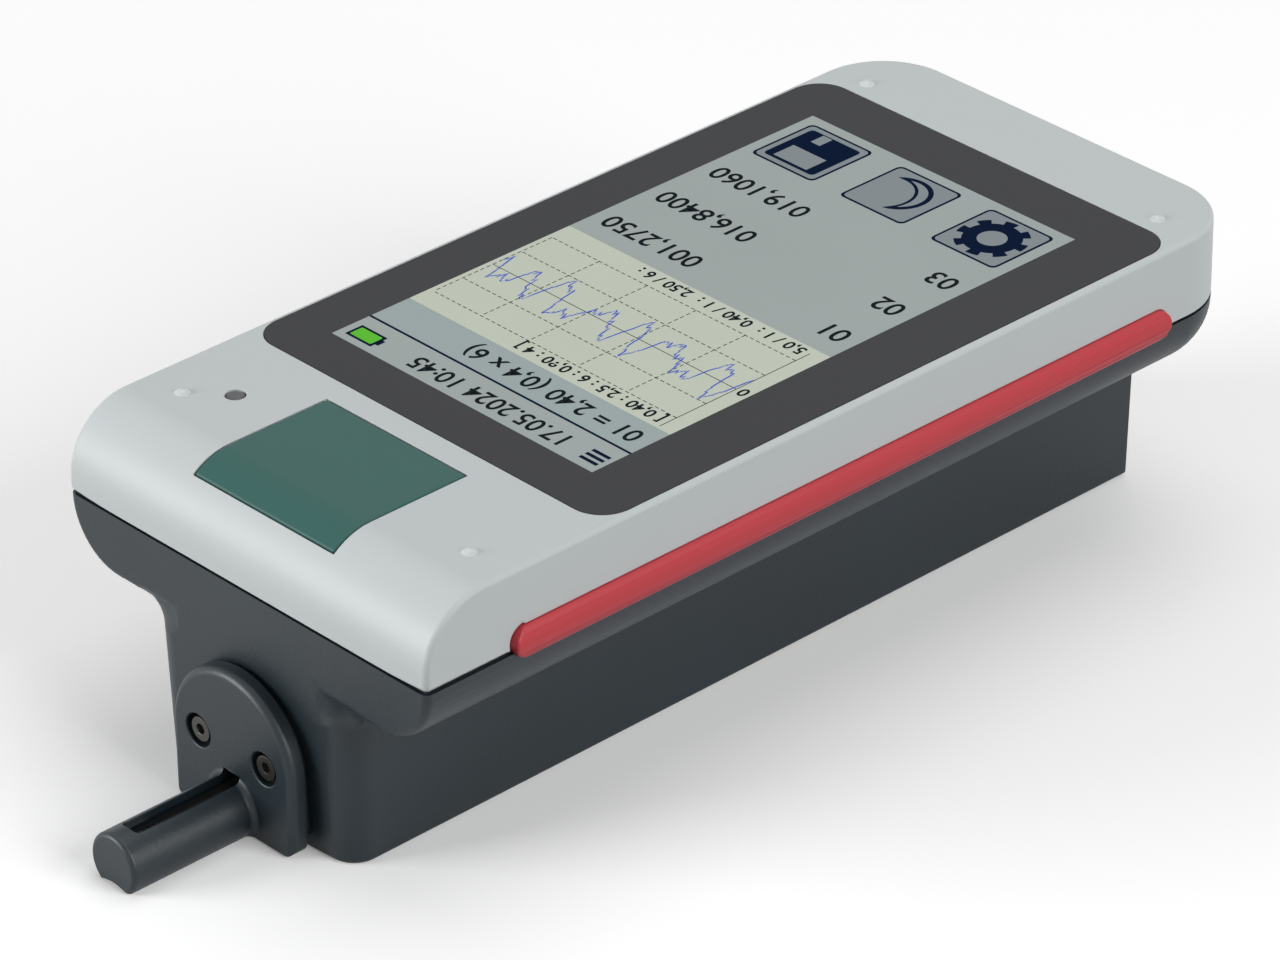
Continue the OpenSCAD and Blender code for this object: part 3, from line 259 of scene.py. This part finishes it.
SCREEN_GREY = screen_ink("screen_grey", (0.184, 0.205, 0.201))
SCREEN_BAND = screen_ink("screen_band", (0.174, 0.206, 0.204))
SCREEN_CREAM = screen_ink("screen_cream", (0.276, 0.298, 0.250))
SCREEN_KEY = screen_ink("screen_key", (0.124, 0.141, 0.149))
SCREEN_NAVY = screen_ink("screen_navy", (0.004, 0.009, 0.026), 0.4)
SCREEN_INK = screen_ink("screen_ink", (0.008, 0.011, 0.014), 0.4)
SCREEN_BLUE = screen_ink("screen_blue", (0.026, 0.052, 0.30))
SCREEN_GREEN = screen_ink("screen_green", (0.060, 0.260, 0.022))

# Solids that are shown as they are, with their finish
NODE_FINISH = {
    "display_module": PANEL_TIN, "start_switch": INNER_BLACK, "status_led": PALE_LED,
    # The gasket's near-black finish is partly painted shade of the seam gap
    "case_gasket": GASKET_BLACK_SEAM_SHADE, "case_screws": SCREW_BLACK,
    "main_board": BOARD_GREEN, "board_components": INNER_BLACK, "battery_cradle": INNER_BLACK,
    "battery_cell": CELL_BLUE, "battery_contacts": BUSH_BRASS, "usb_socket": BRIGHT_STEEL,
    "drive_chassis": CHASSIS_ALLOY, "chassis_screws": SCREW_BLACK, "drive_motor": BRIGHT_STEEL,
    "motor_shaft": BRIGHT_STEEL, "motor_coupling": BUSH_BRASS, "lead_screw": BRIGHT_STEEL,
    "screw_bearings": BUSH_BRASS, "guide_rods": BRIGHT_STEEL, "carriage": INNER_BLACK,
    "carriage_bushes": BUSH_BRASS, "drive_nut": BUSH_BRASS, "holder_pin": BRIGHT_STEEL,
    "probe_holder": INNER_BLACK, "pickup_tube": INNER_BLACK, "pickup_skid": BRIGHT_STEEL,
    "sensor_coil": BUSH_BRASS, "stylus_pin": BRIGHT_STEEL, "stylus_arm": BRIGHT_STEEL,
    "stylus_tip": POINT_STONE,
}


# Modelling helpers

def only(piece):
    """Selects one object alone and makes it active."""
    bpy.ops.object.select_all(action="DESELECT")
    piece.select_set(True)
    bpy.context.view_layer.objects.active = piece


def dress(piece, material, body):
    """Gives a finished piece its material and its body."""
    piece.data.materials.clear()
    piece.data.materials.append(material)
    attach(piece, body)


def to_edit(kind):
    """Enters edit mode with one kind of selection: VERT, EDGE or FACE."""
    bpy.ops.object.mode_set(mode="EDIT")
    bpy.ops.mesh.select_mode(type=kind)


def to_object():
    """Leaves edit mode."""
    bpy.ops.object.mode_set(mode="OBJECT")


def flag(elements, picked=None):
    """Sets the selection of a mesh's corners, edges or faces, or clears it."""
    elements.foreach_set("select", picked or [False] * len(elements))


def anywhere(spot):
    """Every edge may be rounded."""
    return True


def round_edges(piece, edge, angle=32.0, segments=3, where=anywhere):
    """Rounds a piece's sharp edges whose middle, in millimetres, passes the test called where."""
    only(piece)
    to_edit("EDGE")
    bpy.ops.mesh.select_all(action="DESELECT")
    bpy.ops.mesh.edges_select_sharp(sharpness=math.radians(angle))
    to_object()
    mesh = piece.data
    spots = [v.co / MM for v in mesh.vertices]
    picked = [line.select and where((spots[line.vertices[0]] + spots[line.vertices[1]]) / 2)
              for line in mesh.edges]
    flag(mesh.polygons)
    flag(mesh.vertices)
    flag(mesh.edges, picked)
    bpy.ops.object.mode_set(mode="EDIT")
    bpy.ops.mesh.bevel(offset=edge * MM, segments=segments, clamp_overlap=False)
    to_object()


def select_faces(piece, wanted):
    """Edits a piece with those faces selected whose corners, in millimetres, and normal pass."""
    only(piece)
    mesh = piece.data
    spots = [v.co / MM for v in mesh.vertices]
    flag(mesh.vertices)
    flag(mesh.edges)
    flag(mesh.polygons, [wanted([spots[i] for i in face.vertices], face.normal)
                         for face in mesh.polygons])
    to_edit("FACE")


def select_corners(piece, wanted):
    """Edits a piece with those corners selected whose place, in millimetres, passes a test."""
    only(piece)
    mesh = piece.data
    flag(mesh.polygons)
    flag(mesh.edges)
    flag(mesh.vertices, [wanted(v.co / MM) for v in mesh.vertices])
    to_edit("VERT")


def select_edges(piece, wanted):
    """Edits a piece with those edges selected whose middle passes a test."""
    to_edit("EDGE")
    bpy.ops.mesh.select_all(action="DESELECT")
    to_object()
    spots = [v.co for v in piece.data.vertices]
    for edge in piece.data.edges:
        edge.select = wanted((spots[edge.vertices[0]] + spots[edge.vertices[1]]) / 2)
    bpy.ops.object.mode_set(mode="EDIT")


def clean_copy(node, name, merge=0.002, flat=0.2):
    """A CAD node's form with its doubles merged and its flats made whole."""
    piece = bpy.data.objects.new(name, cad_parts[node].data.copy())
    bpy.context.collection.objects.link(piece)
    only(piece)
    bpy.ops.mesh.customdata_custom_splitnormals_clear()
    bpy.ops.object.mode_set(mode="EDIT")
    bpy.ops.mesh.select_all(action="SELECT")
    bpy.ops.mesh.remove_doubles(threshold=merge * MM)
    bpy.ops.mesh.dissolve_limited(angle_limit=math.radians(flat))
    to_object()
    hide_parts(node)
    return piece


def smooth(piece, angle=30.0):
    """Shades a piece smooth, but for its edges sharper than the angle."""
    only(piece)
    bpy.ops.object.shade_smooth_by_angle(angle=math.radians(angle))
    flats = piece.modifiers.new("flats", "WEIGHTED_NORMAL")
    flats.keep_sharp = True
    bpy.ops.object.modifier_apply(modifier="flats")


def apply_place(piece):
    """Moves a piece's place into its mesh."""
    only(piece)
    bpy.ops.object.transform_apply(location=True, rotation=True, scale=True)


def level(layer):
    """Height of a layer drawn on the display glass."""
    return GLASS_TOP + layer * LAYER_HEIGHT * MM


def about(middle, half):
    """The limits of a span given by its middle and half its length."""
    return middle - half, middle + half


def patch(x, y, layer, round_by=0.0):
    """A flat rectangle on the display, given by its x and y limits in millimetres."""
    bpy.ops.object.select_all(action="DESELECT")
    middle = ((x[0] + x[1]) / 2 * MM, (y[0] + y[1]) / 2 * MM, level(layer))
    bpy.ops.mesh.primitive_plane_add(size=1.0, location=middle)
    piece = bpy.context.active_object
    piece.scale = ((x[1] - x[0]) * MM, (y[1] - y[0]) * MM, 1.0)
    apply_place(piece)
    if round_by:
        bpy.ops.object.mode_set(mode="EDIT")
        bpy.ops.mesh.select_all(action="SELECT")
        bpy.ops.mesh.bevel(offset=round_by * MM, segments=6, affect="VERTICES")
        to_object()
    return piece


def dashes(start, end, layer, thick=0.16, dash=0.75, gap=0.45):
    """A dashed line on the display between two points in millimetres, along x or along y."""
    along = 0 if start[1] == end[1] else 1
    length = end[along] - start[along]
    if along == 0:
        piece = patch((start[0], start[0] + dash), about(start[1], thick / 2), layer)
    else:
        piece = patch(about(start[0], thick / 2), (start[1], start[1] + dash), layer)
    row = piece.modifiers.new("row", "ARRAY")
    row.count = int((length + gap) / (dash + gap))
    row.use_relative_offset = False
    row.use_constant_offset = True
    row.constant_offset_displace = Vector((0, 0, 0))
    row.constant_offset_displace[along] = (dash + gap) * MM
    only(piece)
    bpy.ops.object.modifier_apply(modifier="row")
    return piece


def figures(words, x, y, height, layer, align, spacing=1.02, weight=0.07):
    """Plain figures on the display: x at their start or end, y at their foot, in millimetres."""
    bpy.ops.object.select_all(action="DESELECT")
    bpy.ops.object.text_add(location=(x * MM, y * MM, level(layer)))
    piece = bpy.context.active_object
    piece.data.body = words
    piece.data.size = height / FIGURE_SHARE * MM
    piece.data.align_x = align
    piece.data.space_character = spacing
    piece.data.offset = weight * MM
    bpy.ops.object.convert(target="MESH")
    piece = bpy.context.active_object
    apply_place(piece)
    return piece


def joined(name, parts):
    """One piece made of several parts."""
    bpy.ops.object.select_all(action="DESELECT")
    for part in parts:
        part.select_set(True)
    bpy.context.view_layer.objects.active = parts[0]
    bpy.ops.object.join()
    piece = bpy.context.active_object
    piece.name = name
    piece.data.name = name
    return piece


def disc(x, y, radius, layer, corners):
    """A flat disc on the display, in millimetres."""
    bpy.ops.object.select_all(action="DESELECT")
    bpy.ops.mesh.primitive_circle_add(vertices=corners, radius=radius * MM, fill_type="NGON",
                                      location=(x * MM, y * MM, level(layer)))
    piece = bpy.context.active_object
    apply_place(piece)
    return piece


def gear_sign(x, y, radius, hole, layer, teeth=8, root=0.80, tooth=0.56, draw=1.25):
    """A gear on the display: a disc with its teeth drawn out of the rim and a middle hole."""
    piece = disc(x, y, radius * root, layer, teeth * 8)
    centre = Vector((x * MM, y * MM, level(layer)))
    pitch = 2 * math.pi / teeth

    def on_tooth(spot):
        return (math.atan2(spot.y - centre.y, spot.x - centre.x) % pitch) < pitch * tooth

    select_edges(piece, on_tooth)
    bpy.ops.mesh.extrude_edges_move()
    bpy.ops.transform.resize(value=(draw, draw, 1.0), center_override=centre)
    bpy.ops.mesh.select_mode(type="FACE")
    bpy.ops.mesh.select_all(action="DESELECT")
    to_object()
    for face in piece.data.polygons:
        face.select = len(face.vertices) > 4
    bpy.ops.object.mode_set(mode="EDIT")
    bpy.ops.mesh.inset(thickness=(radius * root - hole) * MM)
    bpy.ops.mesh.delete(type="FACE")
    to_object()
    return piece


def crescent_sign(x, y, radius, layer, bite, shift, turn=30.0, corners=64):
    """A crescent on the display: a disc with one side pushed in to a second arc, then turned."""
    piece = disc(x, y, radius, layer, corners)
    cx, cy = x * MM, y * MM
    reach = radius * MM
    bite_x = cx + shift * reach
    bite_r = bite * reach
    meet = (reach ** 2 - bite_r ** 2 + (shift * reach) ** 2) / (2 * shift * reach)
    tip = math.sqrt(reach ** 2 - meet ** 2)
    for vertex in piece.data.vertices:
        if vertex.co.x - cx > meet:
            rise = (vertex.co.y - cy) * tip / reach
            vertex.co.y = cy + rise
            vertex.co.x = bite_x - math.sqrt(max(0.0, bite_r ** 2 - rise ** 2))
    lean = Matrix.Rotation(math.radians(turn), 4, "Z")
    middle = Matrix.Translation((cx, cy, 0.0))
    piece.data.transform(middle @ lean @ middle.inverted())
    return piece


def trace_ribbon(points, radius, layer, flatness=0.08):
    """A thin drawn line through points in millimetres."""
    bpy.ops.object.select_all(action="DESELECT")
    bpy.ops.curve.primitive_nurbs_path_add()
    path = bpy.context.active_object
    path.data.splines.clear()
    spline = path.data.splines.new("POLY")
    spline.points.add(len(points) - 1)
    for spot, (x, y) in zip(spline.points, points):
        spot.co = (x * MM, y * MM, 0.0, 1.0)
    path.data.bevel_depth = radius * MM
    path.data.bevel_resolution = 1
    path.location = (0, 0, level(layer))
    path.scale = (1.0, 1.0, flatness)
    bpy.ops.object.convert(target="MESH")
    piece = bpy.context.active_object
    apply_place(piece)
    return piece


# Places on the case, in millimetres

COVER_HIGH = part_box("top_cover")[1]
HALF_W = COVER_HIGH[0] / MM
FRONT_Y = COVER_HIGH[1] / MM
SEAM_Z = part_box("base_housing")[1][2] / MM
SCREW_SUNK = 0.4
PLATE_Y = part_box("guard_screws")[1][1] / MM + SCREW_SUNK
TIP_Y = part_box("probe_guard")[1][1] / MM

# How near a face or a height counts as met, from the closest to the widest
HAIR, TOUCH, NEAR, BAND = 0.02, 0.05, 0.1, 0.3
# Share of a normal along y up to which a face counts as a side, and from which as a front
SIDEWAYS, FORWARD = 0.9, 0.99

# The cover's rolled nose
NOSE_SIDE, NOSE_LENGTH = 2.0, 22.0

# The guard's screws and the straight part of its finger
SCREWS_LOW_Z, SCREWS_INNER_X = 9.5, 3.5
FINGER_ROOT, FINGER_END = 2.2, 5.0
GROOVE_TOP_Z, SLOT_LOW_Z = 3.0, 7.5
LENS_RIM = 0.5

# The flange's rounded front edge, and what is cleared of corners before it is rounded
FLANGE_LOW_Z, FLANGE_INNER_X = 21.0, 21.5
RING_DEPTH = 1.7
CLEARED_X, CLEARED_Z = 20.5, (21.9, 26.39)

# The two run-outs, where that edge ends in the fillets beside the guard
RUNOUT_X, RUNOUT_Z, RUNOUT_DEPTH = (14.0, 24.5), (21.9, 28.2), 4.4
RUNOUT_FADE_X, RUNOUT_FADE_Z, RUNOUT_FADE_Y = (2.0, 4.0), (1.5, 1.8), 2.0
RUNOUT_ROUNDS = 300
PATCH_X, PATCH_LOW_Z, PATCH_TOP_Z = (13.0, 25.0), 22.0, 29.5
SKIN_LOW_Z = 21.7
WEB_CORNERS, WEB_DEPTH, WEB_TOP_Z = 6, 8.0, 28.5


# Tests that pick edges by their middle

def nose_crease(spot):
    """The edge between the cover's rolled nose and its flat sides."""
    return (abs(spot.x) > HALF_W - NOSE_SIDE and spot.y > FRONT_Y - NOSE_LENGTH
            and spot.z > SEAM_Z + BAND)


def flange_edge(spot):
    """Edges of the lower housing's upright front, from the seam down into the fillets."""
    return (abs(spot.y - FRONT_Y) < BAND and FLANGE_LOW_Z < spot.z < SEAM_Z - TOUCH
            and abs(spot.x) > FLANGE_INNER_X)


def foot_edge(spot):
    """Edges round the lower housing's foot."""
    return spot.z < BAND and abs(spot.x) > RUNOUT_X[0]


def guard_edge(spot):
    """Rims of the guard's screw recesses, and the long edges of its groove and its slot."""
    recess = (abs(spot.y - PLATE_Y) < TOUCH and spot.z > SCREWS_LOW_Z
              and abs(spot.x) > SCREWS_INNER_X)
    along = (PLATE_Y + FINGER_ROOT < spot.y < TIP_Y - FINGER_END
             and (spot.z < GROOVE_TOP_Z or spot.z > SLOT_LOW_Z))
    return recess or along


def lens_edge(spot):
    """The upper edge of the lamp lens."""
    return spot.z > GLASS_TOP / MM - LENS_RIM


# Tests that pick faces by their corners and normal

def limits(spots):
    """Least and greatest y of a face, then of its distance from x = 0, then of its z."""
    sides = [abs(s.x) for s in spots]
    return (min(s.y for s in spots), max(s.y for s in spots), min(sides), max(sides),
            min(s.z for s in spots), max(s.z for s in spots))


def front_skin(spots, normal):
    """Faces of the flange and its fillets that end at the lower housing's front."""
    _, y1, x0, _, z0, z1 = limits(spots)
    return (y1 > FRONT_Y - NEAR and abs(normal.y) < SIDEWAYS and x0 > RUNOUT_X[0]
            and z0 > FLANGE_LOW_Z and z1 < SEAM_Z + TOUCH)


def upright_front(spots, normal):
    """The lower housing's flat front between the fillets and the seam."""
    y0, _, _, _, _, z1 = limits(spots)
    return normal.y > FORWARD and y0 > FRONT_Y - BAND and z1 > PATCH_LOW_Z


def runout_front(spots, normal):
    """The flat front's two patches above the fillets."""
    middle = sum(abs(s.x) for s in spots) / len(spots)
    return (upright_front(spots, normal) and PATCH_X[0] < middle < PATCH_X[1]
            and limits(spots)[-1] < PATCH_TOP_Z + NEAR)


def runout_web(spots, normal):
    """The many-cornered faces between the flange's rounded edge and the fillets."""
    y0, _, x0, _, z0, z1 = limits(spots)
    return (len(spots) > WEB_CORNERS and y0 > FRONT_Y - WEB_DEPTH and x0 > RUNOUT_X[0]
            and z0 > SKIN_LOW_Z and z1 < WEB_TOP_Z)


def runout_skin(spots, normal):
    """All the skin round the two run-outs."""
    y0, _, x0, x1, z0, z1 = limits(spots)
    return (y0 > FRONT_Y - RUNOUT_DEPTH - NEAR and x0 > RUNOUT_X[0] and x1 < RUNOUT_X[1] + NEAR
            and z0 > SKIN_LOW_Z and z1 < PATCH_TOP_Z + NEAR)


# The housing's front

def clear_front(piece, depth):
    """Leaves no corners on the flange's skin between its front edge and a ring behind it."""
    def between(spot):
        return (FRONT_Y - depth + HAIR < spot.y < FRONT_Y - HAIR / 2
                and abs(spot.x) > CLEARED_X and CLEARED_Z[0] < spot.z < CLEARED_Z[1])

    select_faces(piece, front_skin)
    bpy.ops.mesh.bisect(plane_co=(0, (FRONT_Y - depth) * MM, 0), plane_no=(0, 1, 0))
    to_object()
    select_corners(piece, between)
    bpy.ops.mesh.dissolve_verts()
    to_object()


def in_runout(spot):
    """Corners that may move when the run-outs are evened out."""
    return (spot.y > FRONT_Y - RUNOUT_DEPTH and RUNOUT_X[0] < abs(spot.x) < RUNOUT_X[1]
            and RUNOUT_Z[0] < spot.z < RUNOUT_Z[1])


def fade(depth, width):
    """A soft rise from 0 to 1 over that width."""
    share = min(1.0, max(0.0, depth / width))
    return share * share * (3.0 - 2.0 * share)


def runout_share(spot):
    """How much of its move a corner keeps: none at the limits of a run-out, all in its middle."""
    side = abs(spot.x)
    return (fade(RUNOUT_X[1] - side, RUNOUT_FADE_X[1]) * fade(side - RUNOUT_X[0], RUNOUT_FADE_X[0])
            * fade(RUNOUT_Z[1] - spot.z, RUNOUT_FADE_Z[1])
            * fade(spot.z - RUNOUT_Z[0], RUNOUT_FADE_Z[0])
            * fade(spot.y - FRONT_Y + RUNOUT_DEPTH, RUNOUT_FADE_Y))


def soften_fillet(piece, times):
    """Evens out the skin where the flange's rounded edge runs out in the fillets."""
    across, upward = Vector((1, 0, 0)), Vector((0, 0, 1))
    for cut, normal in ((-PATCH_X[1], across), (-PATCH_X[0], across), (PATCH_X[0], across),
                        (PATCH_X[1], across), (PATCH_TOP_Z, upward)):
        select_faces(piece, upright_front)
        bpy.ops.mesh.bisect(plane_co=normal * cut * MM, plane_no=normal)
        to_object()
    for wanted, cuts in ((runout_front, 2), (runout_web, 0), (runout_skin, 1)):
        select_faces(piece, wanted)
        bpy.ops.mesh.quads_convert_to_tris()
        if cuts:
            bpy.ops.mesh.subdivide(number_cuts=cuts)
        to_object()
    before = [vertex.co.copy() for vertex in piece.data.vertices]
    select_corners(piece, in_runout)
    bpy.ops.mesh.vertices_smooth(factor=0.5, repeat=times)
    to_object()
    for vertex, start in zip(piece.data.vertices, before):
        vertex.co = start.lerp(vertex.co, runout_share(start / MM))


# The case

cover = clean_copy("top_cover", "cover_shell")
round_edges(cover, 0.7, segments=4, where=nose_crease)
round_edges(cover, 0.14)
smooth(cover)
dress(cover, COVER_GREY, "case")
cover.data.materials.append(NUB_GREY)
for face in cover.data.polygons:
    if face.center.z > GLASS_TOP + HAIR * MM:
        face.material_index = 1

housing = clean_copy("base_housing", "lower_housing")
clear_front(housing, RING_DEPTH)
round_edges(housing, 1.2, segments=5, where=flange_edge)
soften_fillet(housing, RUNOUT_ROUNDS)
round_edges(housing, 0.6, where=foot_edge)
smooth(housing, 42.0)
dress(housing, CASE_SLATE, "case")

guard = clean_copy("probe_guard", "guard_finger")
round_edges(guard, 0.25, where=guard_edge)
smooth(guard)
dress(guard, CASE_SLATE, "case")

guard_bolts = clean_copy("guard_screws", "guard_socket_screws")
round_edges(guard_bolts, 0.14, segments=2)
smooth(guard_bolts)
dress(guard_bolts, SCREW_BLACK, "case")

button = clean_copy("start_button", "start_key")
round_edges(button, 0.3, segments=4)
smooth(button)
dress(button, BUTTON_GREEN, "button")

for side in ("left", "right"):
    strip = clean_copy(f"side_strip_{side}", f"grip_strip_{side}")
    round_edges(strip, 0.4, angle=25.0, segments=4)
    smooth(strip, 50.0)
    dress(strip, STRIP_RED, "case")

lamp = clean_copy("led_light_pipe", "lamp_lens")
round_edges(lamp, 0.55, segments=6, where=lens_edge)
smooth(lamp, 45.0)
dress(lamp, LAMP_GREY, "case")

for node, material in NODE_FINISH.items():
    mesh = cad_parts[node].data
    mesh.materials.clear()
    mesh.materials.append(material)

# The display

glass = clean_copy("display_glass", "screen_glass")
round_edges(glass, 0.12)
smooth(glass)
dress(glass, BEZEL_GREY, "case")

field = joined("screen_field", [
    patch(FIELD_X, (FIELD_Y[0], GRAPH_Y[0]), FIELD_LAYER),
    patch(FIELD_X, (HEADER_LINE_Y, FIELD_Y[1]), FIELD_LAYER),
])
dress(field, SCREEN_GREY, "case")

band = joined("screen_band", [
    patch(FIELD_X, (GRAPH_Y[1], HEADER_LINE_Y), FIELD_LAYER, round_by=0.15),
])
dress(band, SCREEN_BAND, "case")

graph = joined("screen_graph", [patch(FIELD_X, GRAPH_Y, FIELD_LAYER, round_by=0.15)])
dress(graph, SCREEN_CREAM, "case")

navy_parts = [patch(FIELD_X, about(HEADER_LINE_Y, HEADER_LINE_HALF), LINE_LAYER)]
for bar_y in MENU_BARS_Y:
    navy_parts.append(patch(MENU_X, bar_y, LINE_LAYER))
navy_parts += [
    patch(BATTERY_X, BATTERY_Y, LINE_LAYER),
    patch(BATTERY_POLE_X, BATTERY_POLE_Y, LINE_LAYER),
    gear_sign(KEY_X[0], KEY_Y, GEAR_RADIUS, GEAR_HOLE, SIGN_LAYER),
    crescent_sign(MOON_X, MOON_Y, MOON_RADIUS, SIGN_LAYER, bite=0.95, shift=0.52),
    patch(about(DISK_X, DISK_HALF), about(DISK_Y, DISK_HALF), SIGN_LAYER, round_by=0.7),
]
for key_x in KEY_X:
    navy_parts.append(patch(about(key_x, KEY_SIZE / 2), about(KEY_Y, KEY_SIZE / 2),
                            LINE_LAYER, round_by=1.0))
navy = joined("screen_signs", navy_parts)
dress(navy, SCREEN_NAVY, "case")

key_half = KEY_SIZE / 2 - KEY_RIM
key_faces = [patch(about(key_x, key_half), about(KEY_Y, key_half), FACE_LAYER, round_by=0.8)
             for key_x in KEY_X]
key_faces += [
    patch(DISK_LABEL_X, DISK_LABEL_Y, MARK_LAYER),
    patch(DISK_SHUTTER_X, DISK_SHUTTER_Y, MARK_LAYER),
    crescent_sign(MOON_X, MOON_Y, MOON_FACE_RADIUS, MARK_LAYER, bite=1.24, shift=0.60),
]
keys = joined("screen_keys", key_faces)
dress(keys, SCREEN_KEY, "case")

charge = joined("screen_charge", [patch(CHARGE_X, CHARGE_Y, FACE_LAYER, round_by=0.25)])
dress(charge, SCREEN_GREEN, "case")

ink_parts = [figures(words, x, y, height, LINE_LAYER, align)
             for words, x, y, height, align in SCREEN_FIGURES]
ink_parts += [
    patch(about(GRAPH_AXIS_X, GRAPH_LINE_HALF), GRAPH_AXIS_Y, LINE_LAYER),
    patch((GRAPH_AXIS_X, GRAPH_RIGHT_X), about(GRAPH_ZERO_Y, GRAPH_LINE_HALF), LINE_LAYER),
]
for row_y in GRAPH_ROWS:
    ink_parts.append(dashes((GRAPH_AXIS_X, row_y), (GRAPH_RIGHT_X, row_y), LINE_LAYER))
for column_x in GRAPH_COLUMNS:
    ink_parts.append(dashes((column_x, GRAPH_ROWS[-1]), (column_x, GRAPH_ROWS[0]), LINE_LAYER))
ink = joined("screen_figures", ink_parts)
dress(ink, SCREEN_INK, "case")


def profile_height(x):
    """Height of the drawn roughness profile at x, in millimetres: a few waves of unlike length."""
    swing = math.sin(0.82 * x + 1.1 * math.sin(0.31 * x + 0.5))
    height = 3.3 + 1.1 * math.sin(0.37 * x + 2.6)
    wave = height * math.tanh(1.6 * swing) + math.sin(2.3 * x + 0.6)
    ripple = (0.45 * math.sin(6.1 * x) + 0.40 * math.sin(10.3 * x + 0.8)
              + 0.35 * math.sin(17.9 * x))
    return GRAPH_ZERO_Y + wave + ripple


graph_span = GRAPH_RIGHT_X - GRAPH_AXIS_X
trace_x = [GRAPH_AXIS_X + graph_span * step / TRACE_STEPS for step in range(TRACE_STEPS + 1)]
profile = trace_ribbon([(x, profile_height(x)) for x in trace_x], TRACE_RADIUS, FACE_LAYER)
profile.name = "screen_profile"
dress(profile, SCREEN_BLUE, "case")


# Stage: pale floor and soft light, each with one strength to be seen and another to light

FLOOR_SIZE, FLOOR_DROP, FLOOR_GLOW = 6.0, 0.0001, 0.17
FLOOR_LIGHTS = (0.28, 0.28, 0.28, 1.0)
FLOOR_SEEN = (0.96, 0.96, 0.96, 1.0)
AIR_LIGHTS, AIR_SEEN = 0.18, 1.0
WHITE = (1.0, 1.0, 1.0, 1.0)
LAMP_AIM = (0, 0, 0.03)


def seen_rays(tree):
    """An output that is 1 for rays that show the background and 0 for those that only light."""
    rays = tree.nodes.new("ShaderNodeLightPath")
    mirrored = tree.nodes.new("ShaderNodeMath")
    mirrored.operation = "MAXIMUM"
    shown = tree.nodes.new("ShaderNodeMath")
    shown.operation = "MAXIMUM"
    tree.links.new(rays.outputs["Is Glossy Ray"], mirrored.inputs[0])
    tree.links.new(rays.outputs["Is Transmission Ray"], mirrored.inputs[1])
    tree.links.new(rays.outputs["Is Camera Ray"], shown.inputs[0])
    tree.links.new(mirrored.outputs["Value"], shown.inputs[1])
    return shown.outputs["Value"]


bpy.ops.object.select_all(action="DESELECT")
bpy.ops.mesh.primitive_plane_add(size=FLOOR_SIZE, location=(0, 0, -FLOOR_DROP))
floor = bpy.context.active_object
floor.name = "studio_floor"
floor_paint = bpy.data.materials.new("floor_paint")
floor_paint.use_nodes = True
paint = floor_paint.node_tree
paper = paint.nodes["Principled BSDF"]
paper.inputs["Roughness"].default_value = 0.9
paper.inputs["Specular IOR Level"].default_value = 0.0
paper.inputs["Emission Color"].default_value = WHITE
seen_floor = seen_rays(paint)
lift = paint.nodes.new("ShaderNodeMath")
lift.operation = "MULTIPLY"
lift.inputs[1].default_value = FLOOR_GLOW
paint.links.new(seen_floor, lift.inputs[0])
paint.links.new(lift.outputs["Value"], paper.inputs["Emission Strength"])
pale = paint.nodes.new("ShaderNodeMix")
pale.data_type = "RGBA"
pale.inputs["A"].default_value = FLOOR_LIGHTS
pale.inputs["B"].default_value = FLOOR_SEEN
paint.links.new(seen_floor, pale.inputs["Factor"])
paint.links.new(pale.outputs["Result"], paper.inputs["Base Color"])
floor.data.materials.append(floor_paint)


def soft_box(name, place, size, power):
    """A square studio lamp that faces the part."""
    light = bpy.data.lights.new(name, "AREA")
    light.shape = "SQUARE"
    light.size = size
    light.energy = power
    holder = bpy.data.objects.new(name, light)
    holder.location = place
    aim = Vector(LAMP_AIM) - Vector(place)
    holder.rotation_euler = aim.to_track_quat("-Z", "Y").to_euler()
    bpy.context.collection.objects.link(holder)


soft_box("top_box", (0.1, -0.4, 1.5), size=1.2, power=7.2)
soft_box("front_box", (0.85, 1.30, 0.40), size=0.8, power=21.5)
soft_box("side_box", (-1.5, -0.2, 0.8), size=1.0, power=18.5)

world = bpy.data.worlds.new("studio_air")
bpy.context.scene.world = world
world.use_nodes = True
air = world.node_tree
sky = air.nodes["Background"]
sky.inputs["Color"].default_value = WHITE
strength = air.nodes.new("ShaderNodeMapRange")
strength.inputs["To Min"].default_value = AIR_LIGHTS
strength.inputs["To Max"].default_value = AIR_SEEN
air.links.new(seen_rays(air), strength.inputs["Value"])
air.links.new(strength.outputs["Result"], sky.inputs["Strength"])

# The photograph's camera, solved from the edges of the case

AZIMUTH, ELEVATION, ROLL = (math.radians(v) for v in (227.0454, 30.5487, -0.5803))
CAMERA_PLACE = (-0.610116, 0.574341, 0.515733)
SENSOR_WIDTH, FOCAL_LENGTH, NEAR_CLIP = 36.0, 190.523, 0.01

back = Vector((math.sin(AZIMUTH) * math.cos(ELEVATION), -math.cos(AZIMUTH) * math.cos(ELEVATION),
               math.sin(ELEVATION)))
level_right = Vector((math.cos(AZIMUTH), math.sin(AZIMUTH), 0.0))
level_up = back.cross(level_right)
right = math.cos(ROLL) * level_right + math.sin(ROLL) * level_up
up = -math.sin(ROLL) * level_right + math.cos(ROLL) * level_up
lens = bpy.data.cameras.new("photo_camera")
lens.sensor_width = SENSOR_WIDTH
lens.lens = FOCAL_LENGTH
lens.clip_start = NEAR_CLIP
camera = bpy.data.objects.new("photo_camera", lens)
turn = Matrix((right, up, back)).transposed().to_4x4()
camera.matrix_world = Matrix.Translation(CAMERA_PLACE) @ turn
bpy.context.collection.objects.link(camera)
bpy.context.scene.camera = camera
bpy.context.scene.view_settings.view_transform = "Standard"
